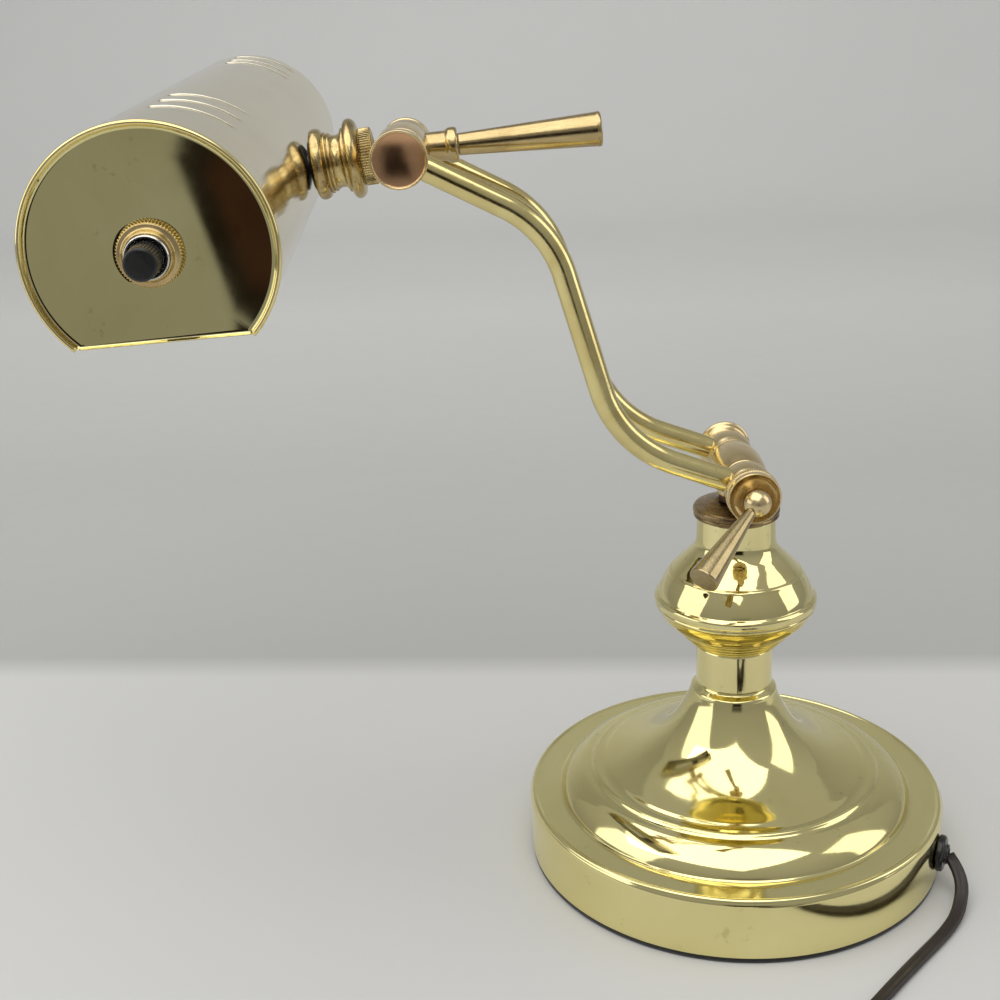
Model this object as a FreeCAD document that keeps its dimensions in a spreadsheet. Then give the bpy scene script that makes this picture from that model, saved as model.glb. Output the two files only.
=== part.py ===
import FreeCAD, Part
import math
import os
import Sketcher

# Desk piano lamp: weighted round foot, turned column, swivelling knuckle,
# twin S-shaped arm tubes, upper knuckle with a handle, ribbed neck and a
# horizontal half-round shade with a rotary switch on its near end.
# Millimetres, +Z up, origin at the centre of the foot's underside. The arm
# reaches towards -X, the hinge pins lie along Y, the near side is -Y.

os.makedirs("parts", exist_ok=True)
doc = FreeCAD.newDocument("piano_lamp")
V = FreeCAD.Vector

# ---------------------------------------------------------------- dimensions
sheet = doc.addObject("Spreadsheet::Sheet", "Dims")
_row = [0]


def dim(alias, value):
    _row[0] += 1
    sheet.set("A%d" % _row[0], alias)
    sheet.set("B%d" % _row[0], repr(float(value)))
    sheet.setAlias("B%d" % _row[0], alias)
    return float(value)


foot_radius = dim("foot_radius", 108.0)
felt_height = dim("felt_height", 1.5)
felt_radius = dim("felt_radius", 106.6)
rod_radius = dim("rod_radius", 5.0)
rod_bore = dim("rod_bore", 3.4)
pin_radius = dim("pin_radius", 4.0)
pin_play = dim("pin_play", 0.05)
lower_pivot_height = dim("lower_pivot_height", 210.8)
upper_pivot_x = dim("upper_pivot_x", -154.7)
upper_pivot_height = dim("upper_pivot_height", 370.6)
barrel_radius = dim("barrel_radius", 12.4)
outer_barrel_radius = dim("outer_barrel_radius", 11.6)
barrel_y_near = dim("barrel_y_near", -20.0)
barrel_y_far = dim("barrel_y_far", 14.0)
tube_y_near = dim("tube_y_near", -28.0)
tube_y_far = dim("tube_y_far", 23.0)
tube_radius = dim("tube_radius", 5.7)
tube_wall = dim("tube_wall", 1.0)
tube_corner_upper_x = dim("tube_corner_upper_x", -90.4)
tube_corner_upper_z = dim("tube_corner_upper_z", 336.9)
tube_corner_lower_x = dim("tube_corner_lower_x", -61.2)
tube_corner_lower_z = dim("tube_corner_lower_z", 234.3)
tube_bend_upper = dim("tube_bend_upper", 52.0)
tube_bend_lower = dim("tube_bend_lower", 56.0)
neck_drop_deg = dim("neck_drop_deg", 6.9)
handle_rise_deg = dim("handle_rise_deg", 3.6)
shade_offset = dim("shade_offset", 87.6)
shade_radius = dim("shade_radius", 45.1)
shade_wall = dim("shade_wall", 0.8)
shade_length = dim("shade_length", 329.4)
shade_cut = dim("shade_cut", 31.4)
shade_tip_deg = dim("shade_tip_deg", 2.2)
shade_yaw_deg = dim("shade_yaw_deg", -1.4)
cord_diameter = dim("cord_diameter", 4.6)
coil_radius = dim("coil_radius", 34.0)
lever_length = dim("lever_length", 44.0)

nodes = {}


def place(origin, direction):
    return FreeCAD.Placement(V(*origin), FreeCAD.Rotation(V(0, 0, 1), V(*direction)))


# A turned piece: its half section is a closed outline of (radius, height)
# points, each bound to its own cells of the sheet, spun about the upright.
def turned(label, outline, origin=(0, 0, 0), direction=(0, 0, 1), keep=True):
    body = doc.addObject("PartDesign::Body", label)
    body.Label = label if keep else label + "_blank"
    plane = [f for f in body.Origin.OriginFeatures if f.Role == "XZ_Plane"][0]
    sk = body.newObject("Sketcher::SketchObject", label + "_section")
    sk.AttachmentSupport = [(plane, "")]
    sk.MapMode = "FlatFace"
    n = len(outline)
    for i in range(n):
        a, b = outline[i], outline[(i + 1) % n]
        sk.addGeometry(Part.LineSegment(V(a[0], a[1], 0), V(b[0], b[1], 0)), False)
    cons = []
    for i in range(n):
        cons.append(Sketcher.Constraint("Coincident", i, 2, (i + 1) % n, 1))
    sk.addConstraint(cons)
    for i, (r, h) in enumerate(outline):
        if abs(r) < 1e-9:
            sk.addConstraint(Sketcher.Constraint("PointOnObject", i, 1, -2))
        else:
            alias = "%s_rad%d" % (label, i)
            dim(alias, r)
            k = sk.addConstraint(Sketcher.Constraint("DistanceX", -1, 1, i, 1, float(r)))
            sk.setExpression("Constraints[%d]" % k, "Dims." + alias)
        if abs(h) < 1e-9:
            sk.addConstraint(Sketcher.Constraint("PointOnObject", i, 1, -1))
        else:
            alias = "%s_hgt%d" % (label, i)
            dim(alias, h)
            k = sk.addConstraint(Sketcher.Constraint("DistanceY", -1, 1, i, 1, float(h)))
            sk.setExpression("Constraints[%d]" % k, "Dims." + alias)
    rev = body.newObject("PartDesign::Revolution", label + "_spin")
    rev.Profile = sk
    rev.ReferenceAxis = (sk, ["V_Axis"])
    rev.Angle = 360.0
    body.Placement = place(origin, direction)
    if keep:
        nodes[label] = body
    return body


def cylinder(label, radius, height, origin, direction=(0, 0, 1), keep=True):
    c = doc.addObject("Part::Cylinder", label)
    c.Label = label if keep else label + "_blank"
    for prop, value in (("Radius", radius), ("Height", height)):
        if isinstance(value, str):
            c.setExpression(prop, value)
        else:
            alias = "%s_%s" % (label, prop.lower())
            dim(alias, value)
            c.setExpression(prop, "Dims." + alias)
    c.Placement = place(origin, direction)
    if keep:
        nodes[label] = c
    return c


def box(label, size, origin, rotation=None, keep=True):
    b = doc.addObject("Part::Box", label)
    b.Label = label if keep else label + "_blank"
    for prop, value in zip(("Length", "Width", "Height"), size):
        alias = "%s_%s" % (label, prop.lower())
        dim(alias, value)
        b.setExpression(prop, "Dims." + alias)
    b.Placement = FreeCAD.Placement(V(*origin), rotation or FreeCAD.Rotation())
    if keep:
        nodes[label] = b
    return b


def cut(label, base, tool, keep=True):
    c = doc.addObject("Part::Cut", label)
    c.Label = label if keep else label + "_blank"
    c.Base = base
    c.Tool = tool
    if keep:
        nodes[label] = c
    return c


def fuse(label, parts_, keep=True):
    f = doc.addObject("Part::MultiFuse", label)
    f.Label = label if keep else label + "_blank"
    f.Shapes = parts_
    if keep:
        nodes[label] = f
    return f


# ---------------------------------------------------------------- foot
# Pressed foot shell: plain band, small rolled edge, flat ring, domed ring,
# narrow step and a concave trumpet that rises to the column.
outer = [
    (107.2, 1.5), (108.0, 2.4), (108.0, 30.4), (107.6, 32.2), (106.4, 33.6), (104.8, 34.0),
    (92.2, 34.0), (91.3, 34.6), (90.6, 36.6), (88.0, 40.2), (83.5, 43.8), (78.5, 46.0),
    (75.2, 46.7), (74.2, 47.6), (73.4, 48.4), (68.6, 48.9), (66.4, 49.8), (60.0, 52.0),
    (52.0, 55.3), (44.5, 59.5), (38.0, 64.4), (32.6, 70.2), (28.4, 76.6), (25.0, 83.4),
    (22.7, 89.0), (22.0, 91.6), (20.6, 93.2), (19.2, 94.0), (18.6, 95.6),
]
inner = [
    (6.0, 95.6), (6.0, 93.2), (17.2, 93.2), (19.6, 91.0), (21.2, 88.3), (23.6, 82.6),
    (27.0, 75.8), (31.3, 69.2), (36.9, 63.2), (43.6, 58.1), (51.3, 53.8), (59.5, 50.5),
    (66.0, 48.2), (72.8, 46.9), (74.6, 45.2), (77.9, 44.5), (82.6, 42.4), (86.8, 39.1),
    (89.1, 35.9), (90.6, 32.4), (104.6, 32.4), (106.3, 30.8), (106.3, 1.5),
]
shell_blank = turned("base_shell_spun", outer + inner, keep=False)
exit_deg = dim("cord_exit_deg", -28.0)
exit_z = dim("cord_exit_height", 18.0)
ex, ey = math.cos(math.radians(exit_deg)), math.sin(math.radians(exit_deg))
hole = cylinder("cord_hole", 5.05, 20.0, (96.0 * ex, 96.0 * ey, exit_z), (ex, ey, 0), keep=False)
cut("base_shell", shell_blank, hole)

weight_blank = turned("base_weight_cast", [
    (14.6, 8.0), (102.0, 8.0), (104.0, 10.0), (104.0, 32.3), (94.0, 32.3), (92.0, 17.0),
    (90.0, 16.0), (34.0, 16.0), (30.0, 18.0), (30.0, 20.0), (5.15, 20.0), (5.15, 8.0)], keep=False)
notch = box("weight_notch", (34.0, 26.0, 30.0), (80.0 * ex + 13.0 * ey, 80.0 * ey - 13.0 * ex, 7.0),
            FreeCAD.Rotation(V(0, 0, 1), exit_deg), keep=False)
cut("base_weight", weight_blank, notch)
cylinder("felt_pad", "Dims.felt_radius", "Dims.felt_height", (0, 0, 0))

# Black snap-in bushing where the lead leaves the foot.
turned("cord_grommet", [
    (2.4, 0.0), (5.0, 0.0), (5.0, 1.7), (6.6, 1.9), (6.6, 2.6), (4.8, 3.6), (4.8, 5.9),
    (8.6, 6.0), (9.2, 6.8), (9.2, 8.6), (8.4, 9.6), (5.2, 9.9), (4.2, 11.4), (2.4, 11.4)],
    (102.05 * ex, 102.05 * ey, exit_z), (ex, ey, 0))

# ---------------------------------------------------------------- column
turned("neck_collar", [(17.6, 0.0), (18.9, 0.0), (19.5, 0.7), (19.5, 20.4), (18.8, 21.3), (17.6, 21.3)],
       (0, 0, 95.7))
turned("lower_cup", [
    (6.0, 0.0), (20.4, 0.0), (21.3, 0.9), (21.0, 1.8), (22.8, 2.4), (23.6, 3.3), (23.2, 4.2),
    (25.0, 4.9), (25.9, 5.9), (25.6, 6.8), (27.6, 7.4), (28.9, 8.6), (28.7, 9.5), (31.2, 10.8),
    (34.6, 13.6), (37.4, 17.0), (38.8, 20.4), (36.8, 20.4), (35.4, 17.6), (32.8, 14.6),
    (29.6, 12.0), (26.6, 9.4), (21.6, 4.0), (18.0, 2.0), (6.0, 2.0)], (0, 0, 117.1))
turned("vase_body", [
    (38.2, 0.0), (39.6, 0.6), (40.1, 1.8), (39.8, 2.9), (40.3, 3.6), (40.7, 5.0), (40.5, 6.6),
    (39.4, 8.2), (38.0, 9.7), (37.0, 12.6), (35.3, 15.8), (33.4, 19.0), (33.0, 20.2), (31.4, 21.4),
    (29.3, 23.3), (26.6, 26.3), (24.2, 28.8), (21.9, 31.0), (20.4, 33.4), (19.7, 36.2),
    (19.6, 48.6), (6.0, 48.6), (6.0, 46.4), (17.8, 46.4), (17.9, 36.0), (18.8, 32.2),
    (20.6, 29.6), (23.0, 27.2), (25.4, 24.6), (28.1, 21.8), (31.4, 18.6), (33.4, 14.8),
    (35.0, 11.4), (36.3, 8.6), (38.2, 6.8), (38.5, 4.4), (37.0, 2.2), (36.8, 0.0)], (0, 0, 137.6))
turned("column_cap", [
    (5.05, 0.0), (20.4, 0.0), (21.2, 0.8), (21.2, 1.8), (20.6, 2.4), (21.4, 3.0), (21.5, 4.4),
    (20.9, 5.6), (19.8, 6.3), (14.0, 6.9), (9.6, 7.7), (5.05, 7.7)], (0, 0, 186.3))
turned("threaded_rod", [(rod_bore, 0.0), (rod_radius, 0.0), (rod_radius, 176.0), (rod_bore, 176.0)],
       (0, 0, 3.0))


def hexagon(label, flats, height, bore, origin, direction=(0, 0, 1)):
    p = doc.addObject("Part::Prism", label + "_prism")
    p.Label = label + "_prism"
    p.Polygon = 6
    dim(label + "_corner", flats / math.sqrt(3.0))
    dim(label + "_height", height)
    p.setExpression("Circumradius", "Dims." + label + "_corner")
    p.setExpression("Height", "Dims." + label + "_height")
    p.Placement = place(origin, direction)
    d = V(*direction)
    o = V(*origin) - d
    t = cylinder(label + "_hole", bore, height + 2.0, (o.x, o.y, o.z), direction, keep=False)
    return cut(label, p, t)


hexagon("bottom_nut", 16.0, 3.6, 5.02, (0, 0, 3.2))
turned("bottom_washer", [(5.15, 0.0), (13.6, 0.0), (13.6, 1.1), (5.15, 1.1)], (0, 0, 6.85))

# ---------------------------------------------------------------- lower knuckle
hp = lower_pivot_height
turned("swivel_nipple", [(rod_bore, 0.0), (5.0, 0.0), (5.0, 21.9), (rod_bore, 21.9)], (0, 0, 179.3))
turned("swivel_lock_nut", [(5.02, 0.0), (8.2, 0.0), (8.8, 0.5), (8.8, 3.0), (8.2, 3.5), (5.02, 3.5)],
       (0, 0, 194.1))


# Drum on a cross pin: a short cylinder along Y with eased edges and a bore.
def drum(label, radius, y0, y1, x, z, bore, ease=1.2, keep=True):
    w = y1 - y0
    return turned(label, [(bore, 0.0), (radius - ease, 0.0), (radius - 0.3 * ease, 0.3 * ease),
                          (radius, ease), (radius, w - ease), (radius - 0.3 * ease, w - 0.3 * ease),
                          (radius - ease, w), (bore, w)], (x, y0, z), (0, 1, 0), keep)


def pierced(label, blank, tools):
    t = tools[0] if len(tools) == 1 else fuse(label + "_tools", tools, keep=False)
    return cut(label, blank, t)


lower_drum = drum("lower_drum", barrel_radius, barrel_y_near, barrel_y_far, 0, hp, pin_radius + pin_play,
                  keep=False)
lower_stem = turned("lower_stem", [(3.0, 0.0), (9.4, 0.0), (9.8, 0.5), (9.8, 6.5), (3.0, 6.5)],
                    (0, 0, 197.7), keep=False)
lower_raw = fuse("lower_center_raw", [lower_drum, lower_stem], keep=False)
socket_cut = cylinder("stem_socket", 5.02, 5.0, (0, 0, 196.7), keep=False)
pin_cut = cylinder("stem_pin_cut", 4.05, 60.0, (0, -30, hp), (0, 1, 0), keep=False)
pierced("lower_center_barrel", lower_raw, [socket_cut, pin_cut])

upper = (upper_pivot_x, upper_pivot_height)


def outer_barrel(label, y0, y1, x, z):
    return drum(label, outer_barrel_radius, y0, y1, x, z, pin_radius + 0.02, 1.0)


outer_barrel("lower_barrel_near", -37.0, -20.1, 0, hp)
outer_barrel("lower_barrel_far", 14.1, 32.0, 0, hp)
outer_barrel("upper_barrel_near", -40.6, -20.1, upper[0], upper[1])
outer_barrel("upper_barrel_far", 14.1, 33.5, upper[0], upper[1])
turned("lower_pin", [(0.0, 0.0), (4.0, 0.0), (4.0, 78.0), (0.0, 78.0)], (0, -42.0, hp), (0, 1, 0))
turned("upper_pin", [(0.0, 0.0), (4.0, 0.0), (4.0, 78.8), (0.0, 78.8)], (upper[0], -40.6, upper[1]), (0, 1, 0))
turned("lower_end_cap", [
    (4.02, 0.0), (9.6, 0.0), (10.4, 0.6), (11.2, 2.6), (13.0, 3.8), (13.2, 4.6), (12.9, 5.6),
    (11.0, 6.8), (8.0, 8.2), (0.0, 9.0), (0.0, 4.4), (4.02, 4.4)], (0, 32.1, hp), (0, 1, 0))
turned("upper_end_cap", [
    (4.02, 0.0), (11.0, 0.0), (11.9, 0.7), (12.0, 2.2), (11.8, 3.4), (10.4, 5.0), (7.4, 6.4),
    (0.0, 7.4), (0.0, 5.2), (4.02, 5.2)], (upper[0], 33.6, upper[1]), (0, 1, 0))
# Knurled dish nut in front, open towards the near side.
turned("lower_dish_nut", [
    (4.02, 0.0), (4.02, 4.2), (6.0, 4.6), (9.0, 6.2), (11.0, 8.2), (11.7, 9.4), (12.2, 9.4),
    (12.5, 8.9), (12.4, 5.0), (12.0, 4.6), (12.0, 1.2), (11.2, 0.0)], (0, -37.1, hp), (0, -1, 0))
# Ball on the pin's end, carrying the clamping lever.
turned("lever_stud", [(0.0, 0.0), (3.2, 0.0), (3.2, 6.8), (3.0, 7.0), (0.0, 7.0)], (0, -42.1, hp), (0, -1, 0),
       keep=False)
ball = doc.addObject("Part::Sphere", "lever_ball_sphere")
ball.Label = "lever_ball_sphere"
dim("lever_ball_radius", 6.6)
ball.setExpression("Radius", "Dims.lever_ball_radius")
ball.Placement = FreeCAD.Placement(V(0, -51.5, hp), FreeCAD.Rotation())
fuse("lever_ball", [doc.getObject("lever_stud"), ball])
ld = V(-30.0, -31.8, -24.1)
ld.normalize()
lb = V(0, -51.5, hp)
lever_raw = turned("clamp_lever_turned", [
    (0.0, 0.0), (2.1, 0.0), (2.5, 2.0), (7.0, lever_length - 0.8), (7.1, lever_length - 0.3),
    (6.8, lever_length), (0.0, lever_length)],
    tuple(lb + ld * 5.6), tuple(ld), keep=False)
cut("clamp_lever", lever_raw, ball)


# ---------------------------------------------------------------- arm tubes
# One tube: three straight runs joined by two tangent bends, mitred round the
# barrels at both ends.
def bent_path(points, radii):
    edges = []
    start = points[0]
    for i in range(1, len(points) - 1):
        a = (points[i - 1] - points[i]).normalize()
        b = (points[i + 1] - points[i]).normalize()
        half = (math.pi - a.getAngle(b)) / 2.0
        t = radii[i - 1] * math.tan(half)
        p = points[i] + a * t
        q = points[i] + b * t
        m = (a + b).normalize()
        mid = points[i] + m * (radii[i - 1] / math.cos(half) - radii[i - 1])
        edges.append(Part.LineSegment(start, p).toShape())
        edges.append(Part.Arc(p, mid, q).toShape())
        start = q
    edges.append(Part.LineSegment(start, points[-1]).toShape())
    return Part.Wire(edges)


def swept(points, radii, radius):
    path = bent_path(points, radii)
    d = (points[1] - points[0]).normalize()
    ring = Part.Wire([Part.Circle(points[0], d, radius).toShape()])
    solid = path.makePipeShell([ring], True, False)
    return solid, path.Length


def arm_tube(label, y):
    pts = [V(upper_pivot_x, y, upper_pivot_height), V(tube_corner_upper_x, y, tube_corner_upper_z),
           V(tube_corner_lower_x, y, tube_corner_lower_z), V(0, y, hp)]
    rad = [tube_bend_upper, tube_bend_lower]
    outside, _ = swept(pts, rad, tube_radius)
    inside, _ = swept(pts, rad, tube_radius - tube_wall)
    tube = outside.cut(inside)
    for x, z in ((upper_pivot_x, upper_pivot_height), (0, hp)):
        tube = tube.cut(Part.makeCylinder(outer_barrel_radius + 0.02, 60, V(x, y - 30, z), V(0, 1, 0)))
    obj = doc.addObject("Part::Feature", label)
    obj.Label = label
    obj.Shape = tube.Solids[0] if len(tube.Solids) == 1 else tube
    nodes[label] = obj


arm_tube("arm_tube_near", tube_y_near)
arm_tube("arm_tube_far", tube_y_far)

# ---------------------------------------------------------------- upper knuckle
# Knurled friction disc with a shallow cone turned in its face.
turned("upper_disc_knob", [
    (0.0, 0.0), (12.2, 0.0), (12.7, 0.5), (12.7, 4.6), (12.3, 5.1), (11.6, 5.1), (11.2, 4.4), (0.0, 2.2)],
    (upper[0], -40.8, upper[1]), (0, -1, 0))
upper_drum = drum("upper_drum", barrel_radius, barrel_y_near, barrel_y_far, upper[0], upper[1],
                  pin_radius + pin_play, keep=False)
na = math.radians(neck_drop_deg)
nd = V(-math.cos(na), 0, -math.sin(na))
ha = math.radians(handle_rise_deg)
hd = V(math.cos(ha), 0, math.sin(ha))
up = V(upper[0], 0, upper[1])
neck_socket = cylinder("neck_socket", 5.02, 8.0, tuple(up + nd * 6.0), tuple(nd), keep=False)
hub_socket = cylinder("hub_socket", 4.02, 8.0, tuple(up + hd * 6.0), tuple(hd), keep=False)
pierced("upper_center_barrel", upper_drum, [neck_socket, hub_socket])


def saddle(label):
    return cylinder(label, barrel_radius + 0.02, 60.0, (upper[0], -30, upper[1]), (0, 1, 0), keep=False)


hub_raw = turned("handle_hub_turned", [
    (0.0, 0.0), (6.5, 0.0), (6.5, 11.2), (7.4, 11.7), (7.9, 12.6), (7.9, 13.6), (7.3, 14.6),
    (6.0, 15.2), (0.0, 15.2)], tuple(up + hd * 10.0), tuple(hd), keep=False)
hub_cut = cut("handle_hub_saddled", hub_raw, saddle("hub_saddle"), keep=False)
hub_stud = cylinder("handle_stud", 4.0, 5.5, tuple(up + hd * 6.4), tuple(hd), keep=False)
fuse("handle_hub", [hub_cut, hub_stud])
turned("head_handle", [
    (0.0, 0.0), (4.9, 0.0), (5.0, 0.6), (5.05, 6.0), (7.7, 63.6), (7.9, 64.4), (7.6, 65.2), (0.0, 65.2)],
    tuple(up + hd * 25.3), tuple(hd))

# ---------------------------------------------------------------- neck
turned("neck_nipple", [(rod_bore, 0.0), (5.0, 0.0), (5.0, 42.4), (rod_bore, 42.4)], tuple(up + nd * 6.4), tuple(nd))
ring_raw = turned("neck_ring_turned", [
    (5.02, 0.0), (12.3, 0.0), (12.8, 0.6), (12.8, 5.4), (12.3, 5.9), (5.02, 5.9)],
    tuple(up + nd * 13.0), tuple(nd), keep=True)
nodes["neck_lock_ring"] = nodes.pop("neck_ring_turned")
ring_raw.Label = "neck_lock_ring"
turned("neck_spool", [
    (5.02, 0.0), (14.6, 0.0), (16.4, 0.6), (17.6, 1.9), (17.9, 3.3), (17.5, 4.8), (16.2, 6.0),
    (14.4, 6.5), (14.2, 7.4), (13.4, 8.0), (12.2, 8.6), (11.7, 10.2), (11.8, 11.8), (12.6, 13.0),
    (13.0, 13.8), (12.8, 14.4), (13.6, 15.2), (13.4, 15.9), (14.0, 16.4), (15.4, 17.4),
    (15.9, 19.4), (15.5, 21.2), (14.2, 22.1), (5.02, 22.1)],
    tuple(up + nd * 19.0), tuple(nd))
turned("neck_washer", [(5.02, 0.0), (11.0, 0.0), (11.0, 0.9), (5.02, 0.9)], tuple(up + nd * 41.15), tuple(nd))

# ---------------------------------------------------------------- shade
# The shade's own frame: origin at mid length on its axis, its y along the axis
# to the far end, turned slightly about the neck as the photograph shows.
sc = up + nd * shade_offset
tip = FreeCAD.Rotation(-nd, shade_tip_deg)
yaw = FreeCAD.Rotation(V(0, 0, 1), -shade_yaw_deg)
shade_frame = FreeCAD.Placement(sc, tip.multiply(yaw))


def in_shade(obj):
    obj.Placement = shade_frame.multiply(obj.Placement)
    return obj


half = shade_length / 2.0
open_tip = math.radians(2.4)


# Outline of the shade's round-with-a-flat section: an arc of radius r whose
# opening is cut by a flat at distance d below the axis.
def section(r, d):
    a = math.acos(d / r)
    down = -math.pi / 2.0 + open_tip
    return (V(r * math.cos(down + a), 0, r * math.sin(down + a)),
            V(r * math.cos(down + math.pi), 0, r * math.sin(down + math.pi)),
            V(r * math.cos(down - a), 0, r * math.sin(down - a)))


def d_face(r, d, y):
    p, q, s = section(r, d)
    w = Part.Wire([Part.Arc(p, q, s).toShape(), Part.LineSegment(s, p).toShape()])
    f = Part.Face(w)
    f.translate(V(0, y, 0))
    return f


def d_solid(r, d, y0, y1):
    return d_face(r, d, y0).extrude(V(0, y1 - y0, 0))


def feature(label, shape, frame=None):
    obj = doc.addObject("Part::Feature", label)
    obj.Label = label
    obj.Shape = shape
    if frame is not None:
        obj.Placement = frame
    nodes[label] = obj
    return obj


ri = shade_radius - shade_wall
skin = d_solid(shade_radius, shade_cut, -half + 2.2, half - 2.2)
skin = skin.cut(d_solid(ri, shade_cut, -half, half))
lower_slab = Part.makeBox(200, 2 * half + 2, 40, V(-100, -half - 1, -shade_cut - 40))
lower_slab.rotate(V(0, 0, 0), V(0, 1, 0), -math.degrees(open_tip))
skin = skin.cut(lower_slab)
# the neck meets the shade along its own line
local_neck = shade_frame.Rotation.inverted().multVec(-nd)
neck_hole = Part.makeCylinder(5.06, 20, local_neck * 35.0, local_neck)
skin = skin.cut(neck_hole)
feature("shade_shell", skin.Solids[0] if len(skin.Solids) == 1 else skin, shade_frame)


# Pressed end: a recessed flat disc inside a rolled rim that grips the shell.
def end_cap(label, y_out, sign):
    y_in = y_out - sign * 5.0
    y_disc = y_out - sign * 2.6
    disc = d_solid(ri - 0.05, shade_cut - 0.1, min(y_disc, y_disc - sign * 0.8), max(y_disc, y_disc - sign * 0.8))
    wall = d_solid(ri - 0.05, shade_cut - 0.1, min(y_in, y_out), max(y_in, y_out))
    wall = wall.cut(d_solid(ri - 0.75, shade_cut - 0.8, min(y_in, y_out) - 1, max(y_in, y_out) + 1))
    lip = d_solid(shade_radius + 0.5, shade_cut + 0.5, min(y_out, y_out - sign * 2.1), max(y_out, y_out - sign * 2.1))
    lip = lip.cut(d_solid(ri - 0.75, shade_cut - 0.8, min(y_in, y_out) - 1, max(y_in, y_out) + 1))
    cap = disc.fuse(wall).fuse(lip).removeSplitter()
    if sign < 0:
        cap = cap.cut(Part.makeCylinder(5.1, 12, V(0, y_out - 2, 0), V(0, 1, 0)))
    feature(label, cap.Solids[0] if len(cap.Solids) == 1 else cap, shade_frame)


end_cap("shade_end_near", -half, -1)
end_cap("shade_end_far", half, 1)

# Nut that holds the neck's nipple inside the shade, and the lamp holder.
hexagon("shade_nut", 15.0, 3.2, 5.02, tuple(up + nd * 45.6), tuple(nd))
# bracket: strap along the shell's inside, with a leg towards the axis
strap = Part.makeBox(1.2, 74.0, 14.0, V(ri - 2.05, -64.0, -7.0))
strap.rotate(V(0, 0, 0), V(0, 1, 0), -math.degrees(math.atan2(local_neck.z, local_neck.x)))
leg = Part.makeBox(ri - 0.85 + 6.0, 1.2, 14.0, V(-6.0, -64.0, -7.0))
leg.rotate(V(0, 0, 0), V(0, 1, 0), -math.degrees(math.atan2(local_neck.z, local_neck.x)))
bracket = strap.fuse(leg).removeSplitter()
bracket = bracket.cut(Part.makeCylinder(5.06, 20, local_neck * 35.0, local_neck))
bracket = bracket.cut(Part.makeCylinder(2.55, 6, V(0, -66, 0), V(0, 1, 0)))
shell_room = Part.makeCylinder(ri - 0.3, 2 * half, V(0, -half, 0), V(0, 1, 0))
bracket = bracket.common(shell_room)
feature("socket_bracket", bracket.Solids[0] if len(bracket.Solids) == 1 else bracket, shade_frame)

in_shade(turned("lamp_socket", [
    (0.0, 0.0), (9.0, 0.0), (10.4, 1.2), (16.4, 9.0), (17.4, 11.0), (17.4, 42.0), (16.6, 43.0),
    (13.6, 43.0), (13.6, 14.0), (0.0, 14.0)], (0, -62.7, 0), (0, 1, 0)))
in_shade(turned("bulb_cap", [
    (0.0, 0.0), (4.0, 0.0), (6.0, 1.6), (12.6, 5.0), (13.3, 6.6), (13.3, 27.0), (12.5, 28.5),
    (11.6, 28.5), (11.6, 7.2), (5.2, 3.4), (0.0, 3.4)],
    (0, -48.4, 0), (0, 1, 0)))
in_shade(turned("bulb_glass", [
    (12.4, 0.0), (12.6, 4.0), (14.4, 8.0), (15.6, 13.0), (16.0, 20.0), (16.0, 104.0),
    (15.3, 109.0), (13.2, 114.0), (9.6, 117.6), (5.0, 119.4), (0.0, 120.0), (0.0, 119.0), (4.8, 118.4),
    (9.1, 116.7), (12.5, 113.3), (14.4, 108.8), (15.1, 104.0), (15.1, 20.2), (14.7, 13.3), (13.5, 8.4),
    (11.7, 4.2), (11.5, 0.0)], (0, -19.9, 0), (0, 1, 0)))

# Rotary switch through the near end.
in_shade(turned("switch_body", [
    (0.0, 0.0), (12.4, 0.0), (13.2, 0.8), (13.2, 16.0), (12.4, 17.0), (0.0, 17.0)], (0, -159.9, 0), (0, 1, 0)))
in_shade(turned("switch_bushing", [
    (2.3, 0.0), (5.02, 0.0), (5.02, 9.6), (2.3, 9.6)], (0, -169.5, 0), (0, 1, 0)))
in_shade(turned("switch_ring_nut", [
    (5.06, 0.0), (11.2, 0.0), (11.8, 0.6), (11.8, 2.2), (11.2, 3.4), (8.6, 4.2), (8.2, 5.2), (7.4, 6.2), (5.06, 6.4)],
    (0, -162.15, 0), (0, -1, 0)))
in_shade(turned("switch_knob", [
    (0.0, 0.0), (0.0, 11.6), (4.6, 11.6), (5.6, 11.0), (6.0, 9.8), (6.3, 0.6), (5.9, 0.0),
    (2.2, 0.0), (2.2, -8.0), (0.0, -8.0)], (0, -170.2, 0), (0, -1, 0)))
wire_pts = [V(9, -142.8, 9), V(12, -118, 14), V(17, -92, 18), V(14, -66, 12)]
lead, _ = swept(wire_pts, [20.0, 20.0], 1.6)
feature("switch_lead", lead, shade_frame)

# ---------------------------------------------------------------- supply lead
# Route from the bushing to the table and over it, in straight runs joined by
# tangent arcs of 0.45 of the shorter run over the tangent of half the turn.
route = [
    V(113.45 * ex, 113.45 * ey, exit_z), V(107.6, -62.5, 11.0), V(101.0, -78.0, 3.6), V(88.4, -92.6, 2.4),
    V(71.0, -109.0, 2.4), V(49.0, -131.5, 2.4), V(23.0, -160.0, 2.4), V(5.0, -193.5, 2.4), V(1.4, -227.0, 2.6)]
radii = []
for i in range(1, len(route) - 1):
    a = route[i] - route[i - 1]
    b = route[i + 1] - route[i]
    turn = a.getAngle(b)
    radii.append(0.45 * min(a.Length, b.Length) / math.tan(turn / 2.0))
    print("lead point %d: run %.1f, turn %.1f deg, radius %.1f mm" % (
        i, a.Length, math.degrees(turn), radii[-1]))
lead, run = swept(route, radii, cord_diameter / 2.0)
feature("power_cord", lead)
print("lead tube: length %.1f mm, volume ratio %.4f" % (
    run, lead.Volume / (math.pi * (cord_diameter / 2.0) ** 2 * run)))
coil_center = (35.0, -240.0)
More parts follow.
